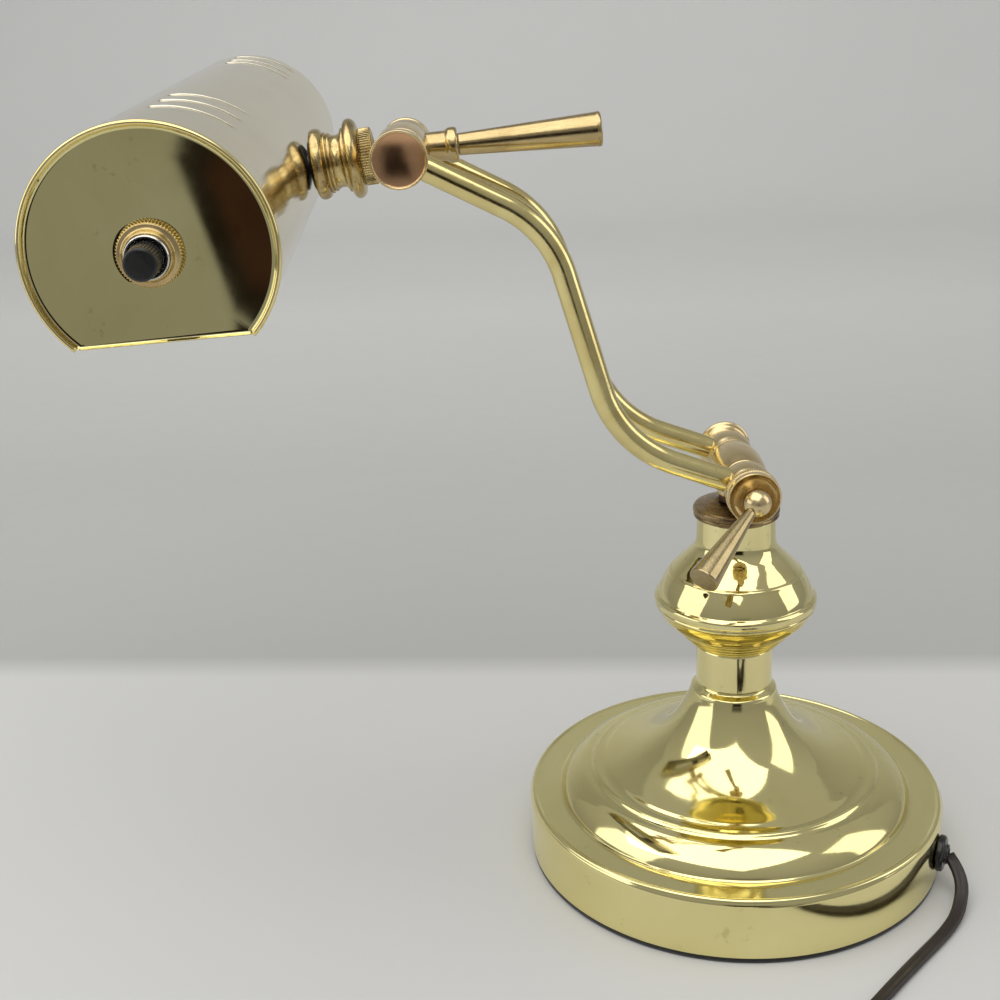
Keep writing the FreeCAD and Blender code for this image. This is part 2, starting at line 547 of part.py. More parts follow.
turned("cord_coil", [
    (coil_radius - 5.5, 0.0), (coil_radius + 5.5, 0.0), (coil_radius + 7.0, 1.5), (coil_radius + 7.0, 11.6),
    (coil_radius + 5.5, 13.1), (coil_radius - 5.5, 13.1), (coil_radius - 7.0, 11.6), (coil_radius - 7.0, 1.5)],
    (coil_center[0], coil_center[1], 0.9))
tie_out = box("tie_outside", (7.0, 16.0, 14.8), (31.5, -282.0, 0.0), keep=False)
tie_in = box("tie_inside", (9.0, 14.4, 13.2), (30.5, -281.2, 0.8), keep=False)
cut("cord_tie", tie_out, tie_in)

# Two-blade plug lying on the coil.
plug = Part.makeBox(20.0, 26.0, 12.6, V(60.0, -238.0, 14.1))
plug = plug.makeFillet(3.0, [e for e in plug.Edges if e.BoundBox.XLength < 0.01 and e.BoundBox.ZLength < 0.01])
neck = Part.makeCone(3.4, 5.0, 12.0, V(70.0, -249.8, 19.6), V(0, 1, 0))
plug = plug.fuse(neck).removeSplitter()
feature("plug_body", plug)
b1 = box("plug_blade_a", (1.5, 17.0, 6.4), (63.0, -211.95, 17.2), keep=False)
b2 = box("plug_blade_b", (1.5, 17.0, 6.4), (75.5, -211.95, 17.2), keep=False)
comp = doc.addObject("Part::Compound", "plug_blades")
comp.Label = "plug_blades"
comp.Links = [b1, b2]
nodes["plug_blades"] = comp

# ---------------------------------------------------------------- finish
doc.recompute()
bad = []
for obj in doc.Objects:
    if "Invalid" in obj.State or "Error" in obj.State:
        bad.append("%s %s" % (obj.Label, obj.State))
for label, obj in nodes.items():
    if obj.Label != label:
        bad.append("label %s is %s" % (label, obj.Label))
    if obj.Shape.isNull() or not obj.Shape.isValid() or not obj.Shape.Solids:
        bad.append("%s has no valid solid" % label)
if bad:
    raise SystemExit("model errors: " + "; ".join(bad))
for label, obj in nodes.items():
    obj.Shape.exportStep("parts/%s.step" % label)
    print("%-20s %9.1f mm3 %d" % (label, obj.Shape.Volume, len(obj.Shape.Solids)))
print(len(nodes), "pieces")
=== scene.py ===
import bpy, bmesh, math
import mathutils
from mathutils import Vector, Matrix, Quaternion


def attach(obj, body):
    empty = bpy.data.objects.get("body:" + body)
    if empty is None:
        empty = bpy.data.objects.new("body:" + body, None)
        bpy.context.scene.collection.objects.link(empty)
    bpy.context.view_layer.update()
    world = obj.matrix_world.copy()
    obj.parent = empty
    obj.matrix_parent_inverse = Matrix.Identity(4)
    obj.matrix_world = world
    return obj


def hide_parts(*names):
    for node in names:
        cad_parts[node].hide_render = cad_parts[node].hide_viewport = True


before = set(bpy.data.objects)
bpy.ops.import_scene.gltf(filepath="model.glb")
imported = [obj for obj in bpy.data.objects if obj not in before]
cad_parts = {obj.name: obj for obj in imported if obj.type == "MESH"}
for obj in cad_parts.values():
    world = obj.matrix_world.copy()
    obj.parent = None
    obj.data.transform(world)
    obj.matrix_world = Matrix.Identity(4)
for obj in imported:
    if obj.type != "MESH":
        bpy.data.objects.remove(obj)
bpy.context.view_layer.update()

MM = 0.001

# ------------------------------------------------------------------ camera
yaw, pitch, roll = map(math.radians, (-0.4037, 19.41, -2.5269))
cam_at = Vector((-0.12225, -0.65044, 0.42903))
fwd = Vector((-math.sin(yaw) * math.cos(pitch), math.cos(yaw) * math.cos(pitch), -math.sin(pitch)))
rgt = Vector((math.cos(yaw), math.sin(yaw), 0.0))
upv = rgt.cross(fwd)
r2 = math.cos(roll) * rgt + math.sin(roll) * upv
u2 = -math.sin(roll) * rgt + math.cos(roll) * upv
cam_data = bpy.data.cameras.new("view_camera")
cam_data.sensor_width = 36.0
cam_data.lens = 50.04
cam_data.clip_start = 0.01
cam_data.clip_end = 20.0
cam = bpy.data.objects.new("view_camera", cam_data)
bpy.context.scene.collection.objects.link(cam)
m = Matrix.Identity(4)
for i, c in enumerate((r2, u2, -fwd)):
    for j in range(3):
        m[j][i] = c[j]
m.translation = cam_at
cam.matrix_world = m
bpy.context.scene.camera = cam


# ------------------------------------------------------------------ materials
def link(nt, a, b):
    nt.links.new(a, b)


def node(nt, kind, **vals):
    n = nt.nodes.new(kind)
    for k, v in vals.items():
        if k in n.inputs:
            n.inputs[k].default_value = v
        else:
            setattr(n, k, v)
    return n


def ramp(nt, fac, stops):
    n = nt.nodes.new("ShaderNodeValToRGB")
    e = n.color_ramp.elements
    while len(e) < len(stops):
        e.new(0.5)
    for i, (p, c) in enumerate(stops):
        e[i].position = p
        e[i].color = c if len(c) == 4 else (*c, 1.0)
    link(nt, fac, n.inputs["Fac"])
    return n.outputs["Color"]


def noise(nt, vec, scale, detail=4.0, rough=0.55, dist=0.0):
    n = nt.nodes.new("ShaderNodeTexNoise")
    n.inputs["Scale"].default_value = scale
    n.inputs["Detail"].default_value = detail
    n.inputs["Roughness"].default_value = rough
    n.inputs["Distortion"].default_value = dist
    link(nt, vec, n.inputs["Vector"])
    return n.outputs["Fac"]


def mapped(nt, scale=(1, 1, 1), rot=(0, 0, 0)):
    tc = nt.nodes.new("ShaderNodeTexCoord")
    mp = nt.nodes.new("ShaderNodeMapping")
    mp.inputs["Scale"].default_value = scale
    mp.inputs["Rotation"].default_value = rot
    link(nt, tc.outputs["Object"], mp.inputs["Vector"])
    return mp.outputs["Vector"]


def grey(v):
    return (v, v, v, 1.0)


def metal(name, colour, dark, rough=(0.08, 0.16), tint_scale=14.0, tint_at=(0.35, 0.75),
          pits=0.0, pit_scale=420.0, scratch=0.0, brushed=None, bump=0.0, bump_scale=60.0, spots=0.0):
    """Plated or turned metal: slow colour drift, fine pits, hairline scratches
    and, when asked, brushing along one direction of the object's axes."""
    mat = bpy.data.materials.new(name)
    mat.use_nodes = True
    nt = mat.node_tree
    b = nt.nodes["Principled BSDF"]
    b.inputs["Metallic"].default_value = 1.0
    vec = mapped(nt)
    drift = noise(nt, vec, tint_scale, 5.0, 0.6, 0.6)
    col = ramp(nt, drift, [(tint_at[0], dark), (tint_at[1], colour)])
    rgh = ramp(nt, noise(nt, vec, tint_scale * 5.0, 6.0, 0.65), [(0.3, grey(rough[0])), (0.72, grey(rough[1]))])
    heights = []
    if pits > 0.0:
        v = nt.nodes.new("ShaderNodeTexVoronoi")
        v.inputs["Scale"].default_value = pit_scale
        v.inputs["Randomness"].default_value = 1.0
        link(nt, vec, v.inputs["Vector"])
        mask = ramp(nt, noise(nt, vec, tint_scale * 3.0, 4.0, 0.6), [(0.5, grey(0.0)), (0.62, grey(1.0))])
        dot = ramp(nt, v.outputs["Distance"], [(0.10, grey(1.0)), (0.26, grey(0.0))])
        mul = nt.nodes.new("ShaderNodeMath")
        mul.operation = "MULTIPLY"
        link(nt, dot, mul.inputs[0])
        link(nt, mask, mul.inputs[1])
        mixc = nt.nodes.new("ShaderNodeMix")
        mixc.data_type = "RGBA"
        mixc.inputs["B"].default_value = (0.09, 0.055, 0.025, 1.0)
        sc = nt.nodes.new("ShaderNodeMath")
        sc.operation = "MULTIPLY"
        sc.inputs[1].default_value = pits
        link(nt, mul.outputs[0], sc.inputs[0])
        link(nt, sc.outputs[0], mixc.inputs["Factor"])
        link(nt, col, mixc.inputs["A"])
        col = mixc.outputs["Result"]
        heights.append((sc.outputs[0], -0.4))
    if brushed is not None:
        bv = mapped(nt, brushed)
        line = noise(nt, bv, 30.0, 6.0, 0.75)
        heights.append((line, 0.35))
        mul = nt.nodes.new("ShaderNodeMix")
        mul.data_type = "RGBA"
        mul.blend_type = "MULTIPLY"
        mul.inputs["Factor"].default_value = 0.55
        link(nt, col, mul.inputs["A"])
        link(nt, ramp(nt, line, [(0.35, grey(0.62)), (0.6, grey(1.0))]), mul.inputs["B"])
        col = mul.outputs["Result"]
    if scratch > 0.0:
        w = nt.nodes.new("ShaderNodeTexVoronoi")
        w.feature = "DISTANCE_TO_EDGE"
        w.inputs["Scale"].default_value = 55.0
        sv = mapped(nt, (1.0, 0.25, 2.2), (0.6, 0.3, 0.9))
        link(nt, sv, w.inputs["Vector"])
        hair = ramp(nt, w.outputs["Distance"], [(0.0, grey(1.0)), (0.012, grey(0.0))])
        heights.append((hair, -scratch))
    if spots > 0.0:
        sp = ramp(nt, noise(nt, vec, tint_scale * 9.0, 3.0, 0.7), [(0.66, grey(0.0)), (0.74, grey(1.0))])
        mixs = nt.nodes.new("ShaderNodeMix")
        mixs.data_type = "RGBA"
        mixs.inputs["B"].default_value = (0.16, 0.10, 0.045, 1.0)
        sc = nt.nodes.new("ShaderNodeMath")
        sc.operation = "MULTIPLY"
        sc.inputs[1].default_value = spots
        link(nt, sp, sc.inputs[0])
        link(nt, sc.outputs[0], mixs.inputs["Factor"])
        link(nt, col, mixs.inputs["A"])
        col = mixs.outputs["Result"]
    if bump > 0.0:
        heights.append((noise(nt, vec, bump_scale, 3.0, 0.5), bump))
    link(nt, col, b.inputs["Base Color"])
    link(nt, rgh, b.inputs["Roughness"])
    last = None
    for h, s in heights:
        bm = nt.nodes.new("ShaderNodeBump")
        bm.inputs["Strength"].default_value = min(1.0, abs(s))
        bm.inputs["Distance"].default_value = 0.00012
        bm.invert = s < 0
        link(nt, h, bm.inputs["Height"])
        if last is not None:
            link(nt, last, bm.inputs["Normal"])
        last = bm.outputs["Normal"]
    if last is not None:
        link(nt, last, b.inputs["Normal"])
    return mat


def plain(name, colour, dark, rough=(0.4, 0.6), scale=60.0, bump=0.3, bump_scale=400.0, dist=0.0001,
          stretch=(1, 1, 1), sheen=0.0, spec=0.5):
    """Moulded, woven or cast surface with fine grain."""
    mat = bpy.data.materials.new(name)
    mat.use_nodes = True
    nt = mat.node_tree
    b = nt.nodes["Principled BSDF"]
    vec = mapped(nt, stretch)
    link(nt, ramp(nt, noise(nt, vec, scale, 5.0, 0.6), [(0.3, dark), (0.7, colour)]), b.inputs["Base Color"])
    link(nt, ramp(nt, noise(nt, vec, scale * 2.3, 5.0, 0.6), [(0.3, grey(rough[0])), (0.7, grey(rough[1]))]),
         b.inputs["Roughness"])
    bm = nt.nodes.new("ShaderNodeBump")
    bm.inputs["Strength"].default_value = bump
    bm.inputs["Distance"].default_value = dist
    link(nt, noise(nt, vec, bump_scale, 4.0, 0.6), bm.inputs["Height"])
    link(nt, bm.outputs["Normal"], b.inputs["Normal"])
    b.inputs["Specular IOR Level"].default_value = spec
    if sheen > 0.0:
        b.inputs["Sheen Weight"].default_value = sheen
        b.inputs["Sheen Roughness"].default_value = 0.5
    return mat


M = {
    "foot": metal("foot_brass", (0.88, 0.80, 0.41), (0.80, 0.71, 0.33), (0.05, 0.13), 9.0,
                  spots=0.22, bump=0.10, bump_scale=210.0),
    "column": metal("column_brass", (0.88, 0.81, 0.43), (0.78, 0.68, 0.32), (0.03, 0.09), 18.0,
                    spots=0.35, bump=0.05, bump_scale=130.0),
    "cup": metal("cup_brass", (0.80, 0.66, 0.20), (0.60, 0.46, 0.10), (0.06, 0.14), 30.0, bump=0.05, bump_scale=80.0),
    "cap": metal("cap_brass", (0.42, 0.31, 0.15), (0.12, 0.075, 0.04), (0.20, 0.36), 60.0, pits=0.5,
                 pit_scale=600.0, bump=0.3, bump_scale=500.0),
    # the very dark colour of this nut is painted shade for its place under the swivel drum
    "nut": metal("jam_nut_painted_shade", (0.20, 0.12, 0.08), (0.06, 0.035, 0.03), (0.28, 0.45), 90.0, bump=0.3, bump_scale=500.0),
    "satin": metal("satin_brass", (0.82, 0.68, 0.39), (0.66, 0.51, 0.27), (0.18, 0.30), 40.0, spots=0.3,
                   bump=0.12, bump_scale=900.0),
    "lever": metal("lever_brass", (0.56, 0.46, 0.25), (0.42, 0.33, 0.17), (0.12, 0.20), 40.0,
                   brushed=(40.0, 40.0, 2.0), bump=0.05, bump_scale=800.0),
    "handle": metal("handle_brass", (0.64, 0.50, 0.25), (0.46, 0.34, 0.16), (0.13, 0.22), 40.0,
                    brushed=(2.5, 40.0, 40.0), pits=0.3, pit_scale=700.0),
    "tube": metal("tube_brass", (0.84, 0.74, 0.36), (0.70, 0.58, 0.25), (0.12, 0.20), 40.0,
                  bump=0.12, bump_scale=700.0, spots=0.4),
    "neck": metal("neck_brass", (0.74, 0.60, 0.28), (0.34, 0.24, 0.11), (0.12, 0.32), 120.0, pits=0.9,
                  pit_scale=520.0, bump=0.35, bump_scale=420.0, spots=0.75),
    "disc": metal("disc_copper", (0.78, 0.47, 0.26), (0.56, 0.32, 0.17), (0.14, 0.20), 30.0, bump=0.05,
                  bump_scale=300.0),
    "shade": metal("shade_brass", (0.80, 0.72, 0.50), (0.70, 0.62, 0.42), (0.06, 0.12), 9.0, spots=0.16,
                   bump=0.03, bump_scale=700.0),
    # the brighter cream colour on the tops of the raised shade lines is a painted highlight
    "ridge": metal("shade_ridge_painted_highlight", (0.98, 0.95, 0.84), (0.92, 0.88, 0.74), (0.35, 0.5), 60.0, bump=0.03, bump_scale=700.0),
    "shade_in": metal("shade_inside", (0.82, 0.78, 0.66), (0.74, 0.70, 0.58), (0.28, 0.42), 20.0, bump=0.08,
                      bump_scale=200.0),
    "end": metal("end_brass", (0.86, 0.80, 0.44), (0.74, 0.66, 0.32), (0.02, 0.05), 12.0, spots=0.22,
                 bump=0.05, bump_scale=16.0),
    "rim": metal("rim_brass", (0.92, 0.80, 0.40), (0.80, 0.66, 0.28), (0.07, 0.14), 30.0, bump=0.05, bump_scale=300.0),
    "ringnut": metal("switch_nut_brass", (0.66, 0.52, 0.26), (0.42, 0.30, 0.14), (0.20, 0.34), 60.0, bump=0.2,
                     bump_scale=600.0),
    "silver": metal("switch_ring_steel", (0.80, 0.79, 0.76), (0.60, 0.59, 0.57), (0.14, 0.26), 80.0, bump=0.1,
                    bump_scale=600.0),
    "steel": metal("zinc_steel", (0.66, 0.66, 0.64), (0.50, 0.50, 0.49), (0.25, 0.40), 60.0, bump=0.15,
                   bump_scale=500.0),
    "blade": metal("blade_brass", (0.86, 0.78, 0.48), (0.74, 0.64, 0.34), (0.18, 0.3), 80.0,
                   brushed=(60.0, 4.0, 60.0)),
    "black": plain("black_plastic", (0.016, 0.015, 0.015), (0.006, 0.006, 0.006), (0.22, 0.38), 90.0, 0.2, 900.0),
    "grommet": plain("bushing_plastic", (0.014, 0.014, 0.014), (0.005, 0.005, 0.005), (0.18, 0.34), 90.0, 0.2, 700.0),
    "cord": plain("lead_vinyl", (0.030, 0.021, 0.016), (0.018, 0.013, 0.010), (0.30, 0.46), 120.0, 0.25, 1400.0,
                  spec=0.45),
    "felt": plain("felt_black", (0.020, 0.019, 0.020), (0.008, 0.008, 0.009), (0.85, 0.98), 300.0, 1.0, 2200.0,
                  0.0004, sheen=0.4),
    "washer": plain("washer_fibre", (0.022, 0.018, 0.015), (0.010, 0.008, 0.007), (0.5, 0.7), 200.0, 0.4, 900.0),
    "iron": plain("weight_iron", (0.10, 0.10, 0.105), (0.045, 0.045, 0.05), (0.6, 0.85), 60.0, 0.9, 320.0, 0.0006),
    "socket": plain("socket_phenolic", (0.030, 0.024, 0.020), (0.014, 0.011, 0.009), (0.25, 0.4), 70.0, 0.2, 800.0),
}
bulb_mat = bpy.data.materials.new("bulb_frosted")
bulb_mat.use_nodes = True
_nt = bulb_mat.node_tree
_b = _nt.nodes["Principled BSDF"]
_b.inputs["Subsurface Weight"].default_value = 0.25
_b.inputs["Subsurface Scale"].default_value = 0.004
_b.inputs["Coat Weight"].default_value = 0.6
_b.inputs["Coat Roughness"].default_value = 0.08
_v = mapped(_nt)
link(_nt, ramp(_nt, noise(_nt, _v, 40.0, 4.0, 0.6), [(0.3, (0.80, 0.79, 0.76)), (0.7, (0.90, 0.89, 0.87))]),
     _b.inputs["Base Color"])
link(_nt, ramp(_nt, noise(_nt, _v, 90.0, 4.0, 0.6), [(0.3, grey(0.28)), (0.7, grey(0.40))]), _b.inputs["Roughness"])
M["bulb"] = bulb_mat


# ------------------------------------------------------------------ mesh tools
def mesh_object(name, verts, faces, mat, sharp=None, mats=None, face_mats=None, weighted=True):
    me = bpy.data.meshes.new(name)
    me.from_pydata([tuple(v) for v in verts], [], faces)
    me.validate()
    me.update()
    for mm_ in (mats or [mat]):
        me.materials.append(M[mm_] if isinstance(mm_, str) else mm_)
    if face_mats:
        for p, k in zip(me.polygons, face_mats):
            p.material_index = k
    bm = bmesh.new()
    bm.from_mesh(me)
    bmesh.ops.remove_doubles(bm, verts=bm.verts, dist=1e-7)
    bmesh.ops.recalc_face_normals(bm, faces=bm.faces)
    for f in bm.faces:
        f.smooth = True
    if sharp:
        lim = math.radians(sharp)
        for e in bm.edges:
            if len(e.link_faces) == 2 and e.calc_face_angle(0.0) > lim:
                e.smooth = False
    bm.to_mesh(me)
    bm.free()
    ob = bpy.data.objects.new(name, me)
    bpy.context.scene.collection.objects.link(ob)
    if weighted:
        w = ob.modifiers.new("even_normals", "WEIGHTED_NORMAL")
        w.mode = "FACE_AREA"
        w.weight = 60
        w.keep_sharp = True
    return ob


def aim(origin, direction):
    """Matrix that takes local Z onto direction, at origin (mm)."""
    d = Vector(direction).normalized()
    q = Vector((0, 0, 1)).rotation_difference(d)
    mt = q.to_matrix().to_4x4()
    mt.translation = Vector(origin) * MM
    return mt


def spline(pts, per):
    """Centripetal curve through the points."""
    if len(pts) < 3:
        return [tuple(p) for p in pts]
    out = []
    ext = [tuple(2 * a - b for a, b in zip(pts[0], pts[1]))] + list(pts) + [
        tuple(2 * a - b for a, b in zip(pts[-1], pts[-2]))]
    for i in range(1, len(ext) - 2):
        p0, p1, p2, p3 = (Vector((*p, 0)) for p in ext[i - 1:i + 3])
        t0 = 0.0
        t1 = t0 + max(1e-6, (p1 - p0).length) ** 0.5
        t2 = t1 + max(1e-6, (p2 - p1).length) ** 0.5
        t3 = t2 + max(1e-6, (p3 - p2).length) ** 0.5
        for k in range(per):
            t = t1 + (t2 - t1) * k / per
            a1 = (t1 - t) / (t1 - t0) * p0 + (t - t0) / (t1 - t0) * p1
            a2 = (t2 - t) / (t2 - t1) * p1 + (t - t1) / (t2 - t1) * p2
            a3 = (t3 - t) / (t3 - t2) * p2 + (t - t2) / (t3 - t2) * p3
            b1 = (t2 - t) / (t2 - t0) * a1 + (t - t0) / (t2 - t0) * a2
            b2 = (t3 - t) / (t3 - t1) * a2 + (t - t1) / (t3 - t1) * a3
            c = (t2 - t) / (t2 - t1) * b1 + (t - t1) / (t2 - t1) * b2
            out.append((c[0], c[1]))
    out.append(tuple(pts[-1]))
    return out


def profile(runs, ease=0.35, per=5):
    """runs: lists of (r, z); a run of three or more points is a smooth curve.
    Neighbouring runs meet in a corner that is eased by a small round."""
    lines = [spline(r, per) for r in runs]
    pts, corner = [], []
    for ln in lines:
        for i, p in enumerate(ln):
            if pts and math.dist(pts[-1], p) < 1e-6:
                corner[-1] = True
                continue
            pts.append(p)
            corner.append(i == 0 or i == len(ln) - 1)
    out = []
    n = len(pts)
    for i, p in enumerate(pts):
        if not corner[i] or i == 0 or i == n - 1:
            out.append(p)
            continue
        a, b = Vector((*pts[i - 1], 0)), Vector((*pts[i + 1], 0))
        c = Vector((*p, 0))
        da, db = (a - c), (b - c)
        if da.length < 1e-6 or db.length < 1e-6 or abs(math.pi - da.angle(db)) < math.radians(12):
            out.append(p)
            continue
        e = min(ease, 0.45 * da.length, 0.45 * db.length)
        qa, qb = c + da.normalized() * e, c + db.normalized() * e
        for k in range(5):
            t = k / 4
            v = qa.lerp(c, t).lerp(c.lerp(qb, t), t)
            out.append((v[0], v[1]))
    return out


def lathe(name, pts, origin, direction, mat, seg=128, teeth=0, tooth=0.0, where=None, mats=None,
          pick=None, base=None, closed=False):
    """Spins the (r, z) profile in mm. teeth/tooth knurl the points for which
    where(r, z) is true."""
    mt = aim(origin, direction)
    if base is not None:
        mt = base @ mt
    verts, faces, fm = [], [], []
    if teeth:
        seg = teeth * 6
    rows = len(pts)
    for (r, z) in pts:
        for k in range(seg):
            a = 2 * math.pi * k / seg
            rr = r
            if teeth and where(r, z):
                ph = (k % 6) / 6.0
                rr = r - tooth * (0.5 - 0.5 * math.cos(2 * math.pi * ph))
            verts.append(mt @ (Vector((rr * math.cos(a), rr * math.sin(a), z)) * MM))
    span = rows if closed else rows - 1
    for i in range(span):
        j = (i + 1) % rows
        for k in range(seg):
            l = (k + 1) % seg
            faces.append((i * seg + k, i * seg + l, j * seg + l, j * seg + k))
            fm.append(pick(pts[i], pts[j]) if pick else 0)
    return mesh_object(name, verts, faces, mat, mats=mats, face_mats=fm if pick else None)


def done(ob, body, *nodes, slot=None):
    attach(ob, body)
    if nodes:
        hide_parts(*nodes)
    return ob


# ------------------------------------------------------------------ supply lead
def V3(x, y, z):
    return Vector((x, y, z)) * MM


EXIT_DEG = math.radians(-28.0)
ex, ey = math.cos(EXIT_DEG), math.sin(EXIT_DEG)
EXIT = (113.45 * ex, 113.45 * ey, 18.0)
route = [EXIT, (105.2, -61.4, 11.4), (98.6, -78.6, 3.2), (87.4, -92.8, 1.8), (71.0, -109.0, 1.8),
         (49.0, -131.5, 1.8), (23.0, -160.0, 1.8), (5.0, -193.5, 1.9), (1.4, -227.0, 2.6)]
COIL_C = (35.0, -240.0)
COIL_R = 34.0
turns = []
cols = [5.4, 1.8, -1.8, -5.4]
rows_z = [4.4, 11.0]
start_a = math.radians(158.8)
total_turns = 7.4725
steps = 16
lay = [(cols[0], rows_z[0]), (cols[1], rows_z[0]), (cols[2], rows_z[0]), (cols[3], rows_z[0]),
       (cols[3], rows_z[1]), (cols[2], rows_z[1]), (cols[1], rows_z[1]), (cols[0], rows_z[1])]
n_steps = int(round(total_turns * steps))
k_fix = 1.0 / math.cos(math.pi / steps) ** 0.5
for s in range(1, n_steps + 1):
    t = s / steps
    i = min(int(t), len(lay) - 1)
    j = min(i + 1, len(lay) - 1)
    f = max(0.0, (t - i - 0.72) / 0.28) if t - i < 1.0 else 1.0
    dr = lay[i][0] * (1 - f) + lay[j][0] * f
    zz = lay[i][1] * (1 - f) + lay[j][1] * f
    if t < 0.5:
        dr = 1.0 + (dr - 1.0) * (t / 0.5)
        zz = 2.6 + (zz - 2.6) * (t / 0.5)
    up_end = max(0.0, (t - (total_turns - 0.34)) / 0.34)
    zz += 7.6 * up_end * up_end * (3 - 2 * up_end)
    dr -= 2.6 * up_end
    a = start_a + 2 * math.pi * t
    turns.append((COIL_C[0] + (COIL_R + dr) * k_fix * math.cos(a), COIL_C[1] + (COIL_R + dr) * k_fix * math.sin(a), zz))
tail = [(69.4, -254.6, 19.4), (70.0, -249.8, 19.7)]
ctrl = route + turns + tail
cu = bpy.data.curves.new("lead_route", "CURVE")
cu.dimensions = "3D"
sp = cu.splines.new("NURBS")
sp.points.add(len(ctrl) - 1)
for p, q in zip(sp.points, ctrl):
    p.co = (q[0] * MM, q[1] * MM, q[2] * MM, 1.0)
sp.order_u = 3
sp.use_endpoint_u = True
cu.resolution_u = 5
tmp = bpy.data.objects.new("lead_route", cu)
bpy.context.scene.collection.objects.link(tmp)
bpy.context.view_layer.update()
me = bpy.data.meshes.new_from_object(tmp.evaluated_get(bpy.context.evaluated_depsgraph_get()))
path = [v.co.copy() for v in me.vertices]
bpy.data.objects.remove(tmp)
bpy.data.meshes.remove(me)
run = sum((b - a).length for a, b in zip(path, path[1:]))
print("lead length", round(run, 4))

# flat two-core section swept along the route: its wide side starts level, lies
# flat on the table and stands on edge in the coil
half_w, core_r = 1.62, 1.68
sect = []
for k in range(10):
    a = -math.pi / 2 + math.pi * k / 9
    sect.append((half_w + core_r * math.cos(a), core_r * math.sin(a)))
sect.append((0.35, core_r * 0.80))
sect.append((-0.35, core_r * 0.80))
for k in range(10):
    a = math.pi / 2 + math.pi * k / 9
    sect.append((-half_w + core_r * math.cos(a), core_r * math.sin(a)))
sect.append((-0.35, -core_r * 0.80))
sect.append((0.35, -core_r * 0.80))
verts, faces = [], []
acc, L = 0.0, []
for i, p in enumerate(path):
    if i:
        acc += (p - path[i - 1]).length
    L.append(acc)
for i, p in enumerate(path):
    tdir = (path[min(i + 1, len(path) - 1)] - path[max(i - 1, 0)]).normalized()
    zup = Vector((0, 0, 1))
    side = tdir.cross(zup)
    side = side.normalized() if side.length > 0.05 else Vector((1, 0, 0))
    nrm = side.cross(tdir).normalized()
    stand = 0.0
    if L[i] > 0.205:
        stand = min(1.0, (L[i] - 0.205) / 0.10)
    if L[i] > acc - 0.02:
        stand = max(0.0, (acc - L[i]) / 0.02)
    ang = stand * math.pi / 2
    w = side * math.cos(ang) + nrm * math.sin(ang)
    t = nrm * math.cos(ang) - side * math.sin(ang)
    for (x, y) in sect:
        verts.append(p + (w * x + t * y) * MM)
ns = len(sect)
for i in range(len(path) - 1):
    for k in range(ns):
        l = (k + 1) % ns
        faces.append((i * ns + k, i * ns + l, (i + 1) * ns + l, (i + 1) * ns + k))
faces.append(tuple(range(ns))[::-1])
faces.append(tuple((len(path) - 1) * ns + k for k in range(ns)))
lead = mesh_object("supply_lead", verts, faces, "cord", weighted=False)
done(lead, "base", "power_cord", "cord_coil", slot="cord_brown")

# tie round the coil
tv, tf = [], []
for i in range(24):
    a = 2 * math.pi * i / 24
    cx, cz = math.cos(a), math.sin(a)
    px = math.copysign(abs(cx) ** 0.45, cx) * 7.9
    pz = math.copysign(abs(cz) ** 0.45, cz) * 7.3 + 7.45
    nx, nz = math.copysign(abs(cx) ** 0.45, cx) * 7.3, math.copysign(abs(cz) ** 0.45, cz) * 6.8 + 7.45
    for (yy, zz) in ((px, pz), (nx, nz)):
        for dx in (-3.2, 3.2):
            tv.append(V3(COIL_C[0] + dx, COIL_C[1] - COIL_R + yy, max(0.15, zz)))
for i in range(24):
    j = (i + 1) % 24
    a0, a1, b0, b1 = i * 4, i * 4 + 1, i * 4 + 2, i * 4 + 3
    c0, c1, d0, d1 = j * 4, j * 4 + 1, j * 4 + 2, j * 4 + 3
    tf += [(a0, a1, c1, c0), (b1, b0, d0, d1), (a0, c0, d0, b0), (a1, b1, d1, c1)]
tie = mesh_object("lead_tie", tv, tf, "black", sharp=40)
done(tie, "base", "cord_tie", slot="rubber_black")


# plug: rounded moulded body, tapered sleeve and two blades
def rounded_box(name, centre, size, r, mat, seg=5, taper=0.0, ribs=0):
    bm = bmesh.new()
    bmesh.ops.create_cube(bm, size=1.0)
    for v in bm.verts:
        k = 1.0 - taper * (0.5 - v.co.y)
        v.co = Vector((v.co.x * size[0] * k, v.co.y * size[1], v.co.z * size[2] * (1.0 - 0.5 * taper * (0.5 - v.co.y)))) * MM
    bmesh.ops.bevel(bm, geom=bm.edges[:] + bm.verts[:], offset=r * MM, segments=seg, profile=0.6, affect="EDGES")
    me_ = bpy.data.meshes.new(name)
    bm.to_mesh(me_)
    bm.free()
    vs = [v.co + Vector(centre) * MM for v in me_.vertices]
    fs = [tuple(p.vertices) for p in me_.polygons]
    bpy.data.meshes.remove(me_)
    return mesh_object(name, vs, fs, mat)


plug = rounded_box("plug_shell", (70.0, -225.2, 20.4), (19.6, 25.6, 12.4), 3.0, "cord", taper=0.18)
done(plug, "base", "plug_body", slot="cord_brown")
sleeve_pts = profile([[(3.6, -0.6), (3.6, 0.0)], [(3.6, 0.0), (3.9, 1.6)], [(3.9, 1.6), (3.2, 1.9)], [(3.2, 1.9), (3.2, 2.8)],
                      [(3.2, 2.8), (4.2, 3.1)], [(4.2, 3.1), (4.4, 4.6)], [(4.4, 4.6), (3.6, 5.0)], [(3.6, 5.0), (3.6, 5.9)],
                      [(3.6, 5.9), (4.7, 6.2)], [(4.7, 6.2), (5.0, 8.0)], [(5.0, 8.0), (5.1, 12.4)]], 0.2)
sleeve_pts = [(0.0, -0.6)] + sleeve_pts + [(0.0, 12.4)]
sleeve = lathe("plug_sleeve", sleeve_pts, (70.0, -249.8, 19.8), (0, 1, 0), "cord", 48)
done(sleeve, "base", slot="cord_brown")
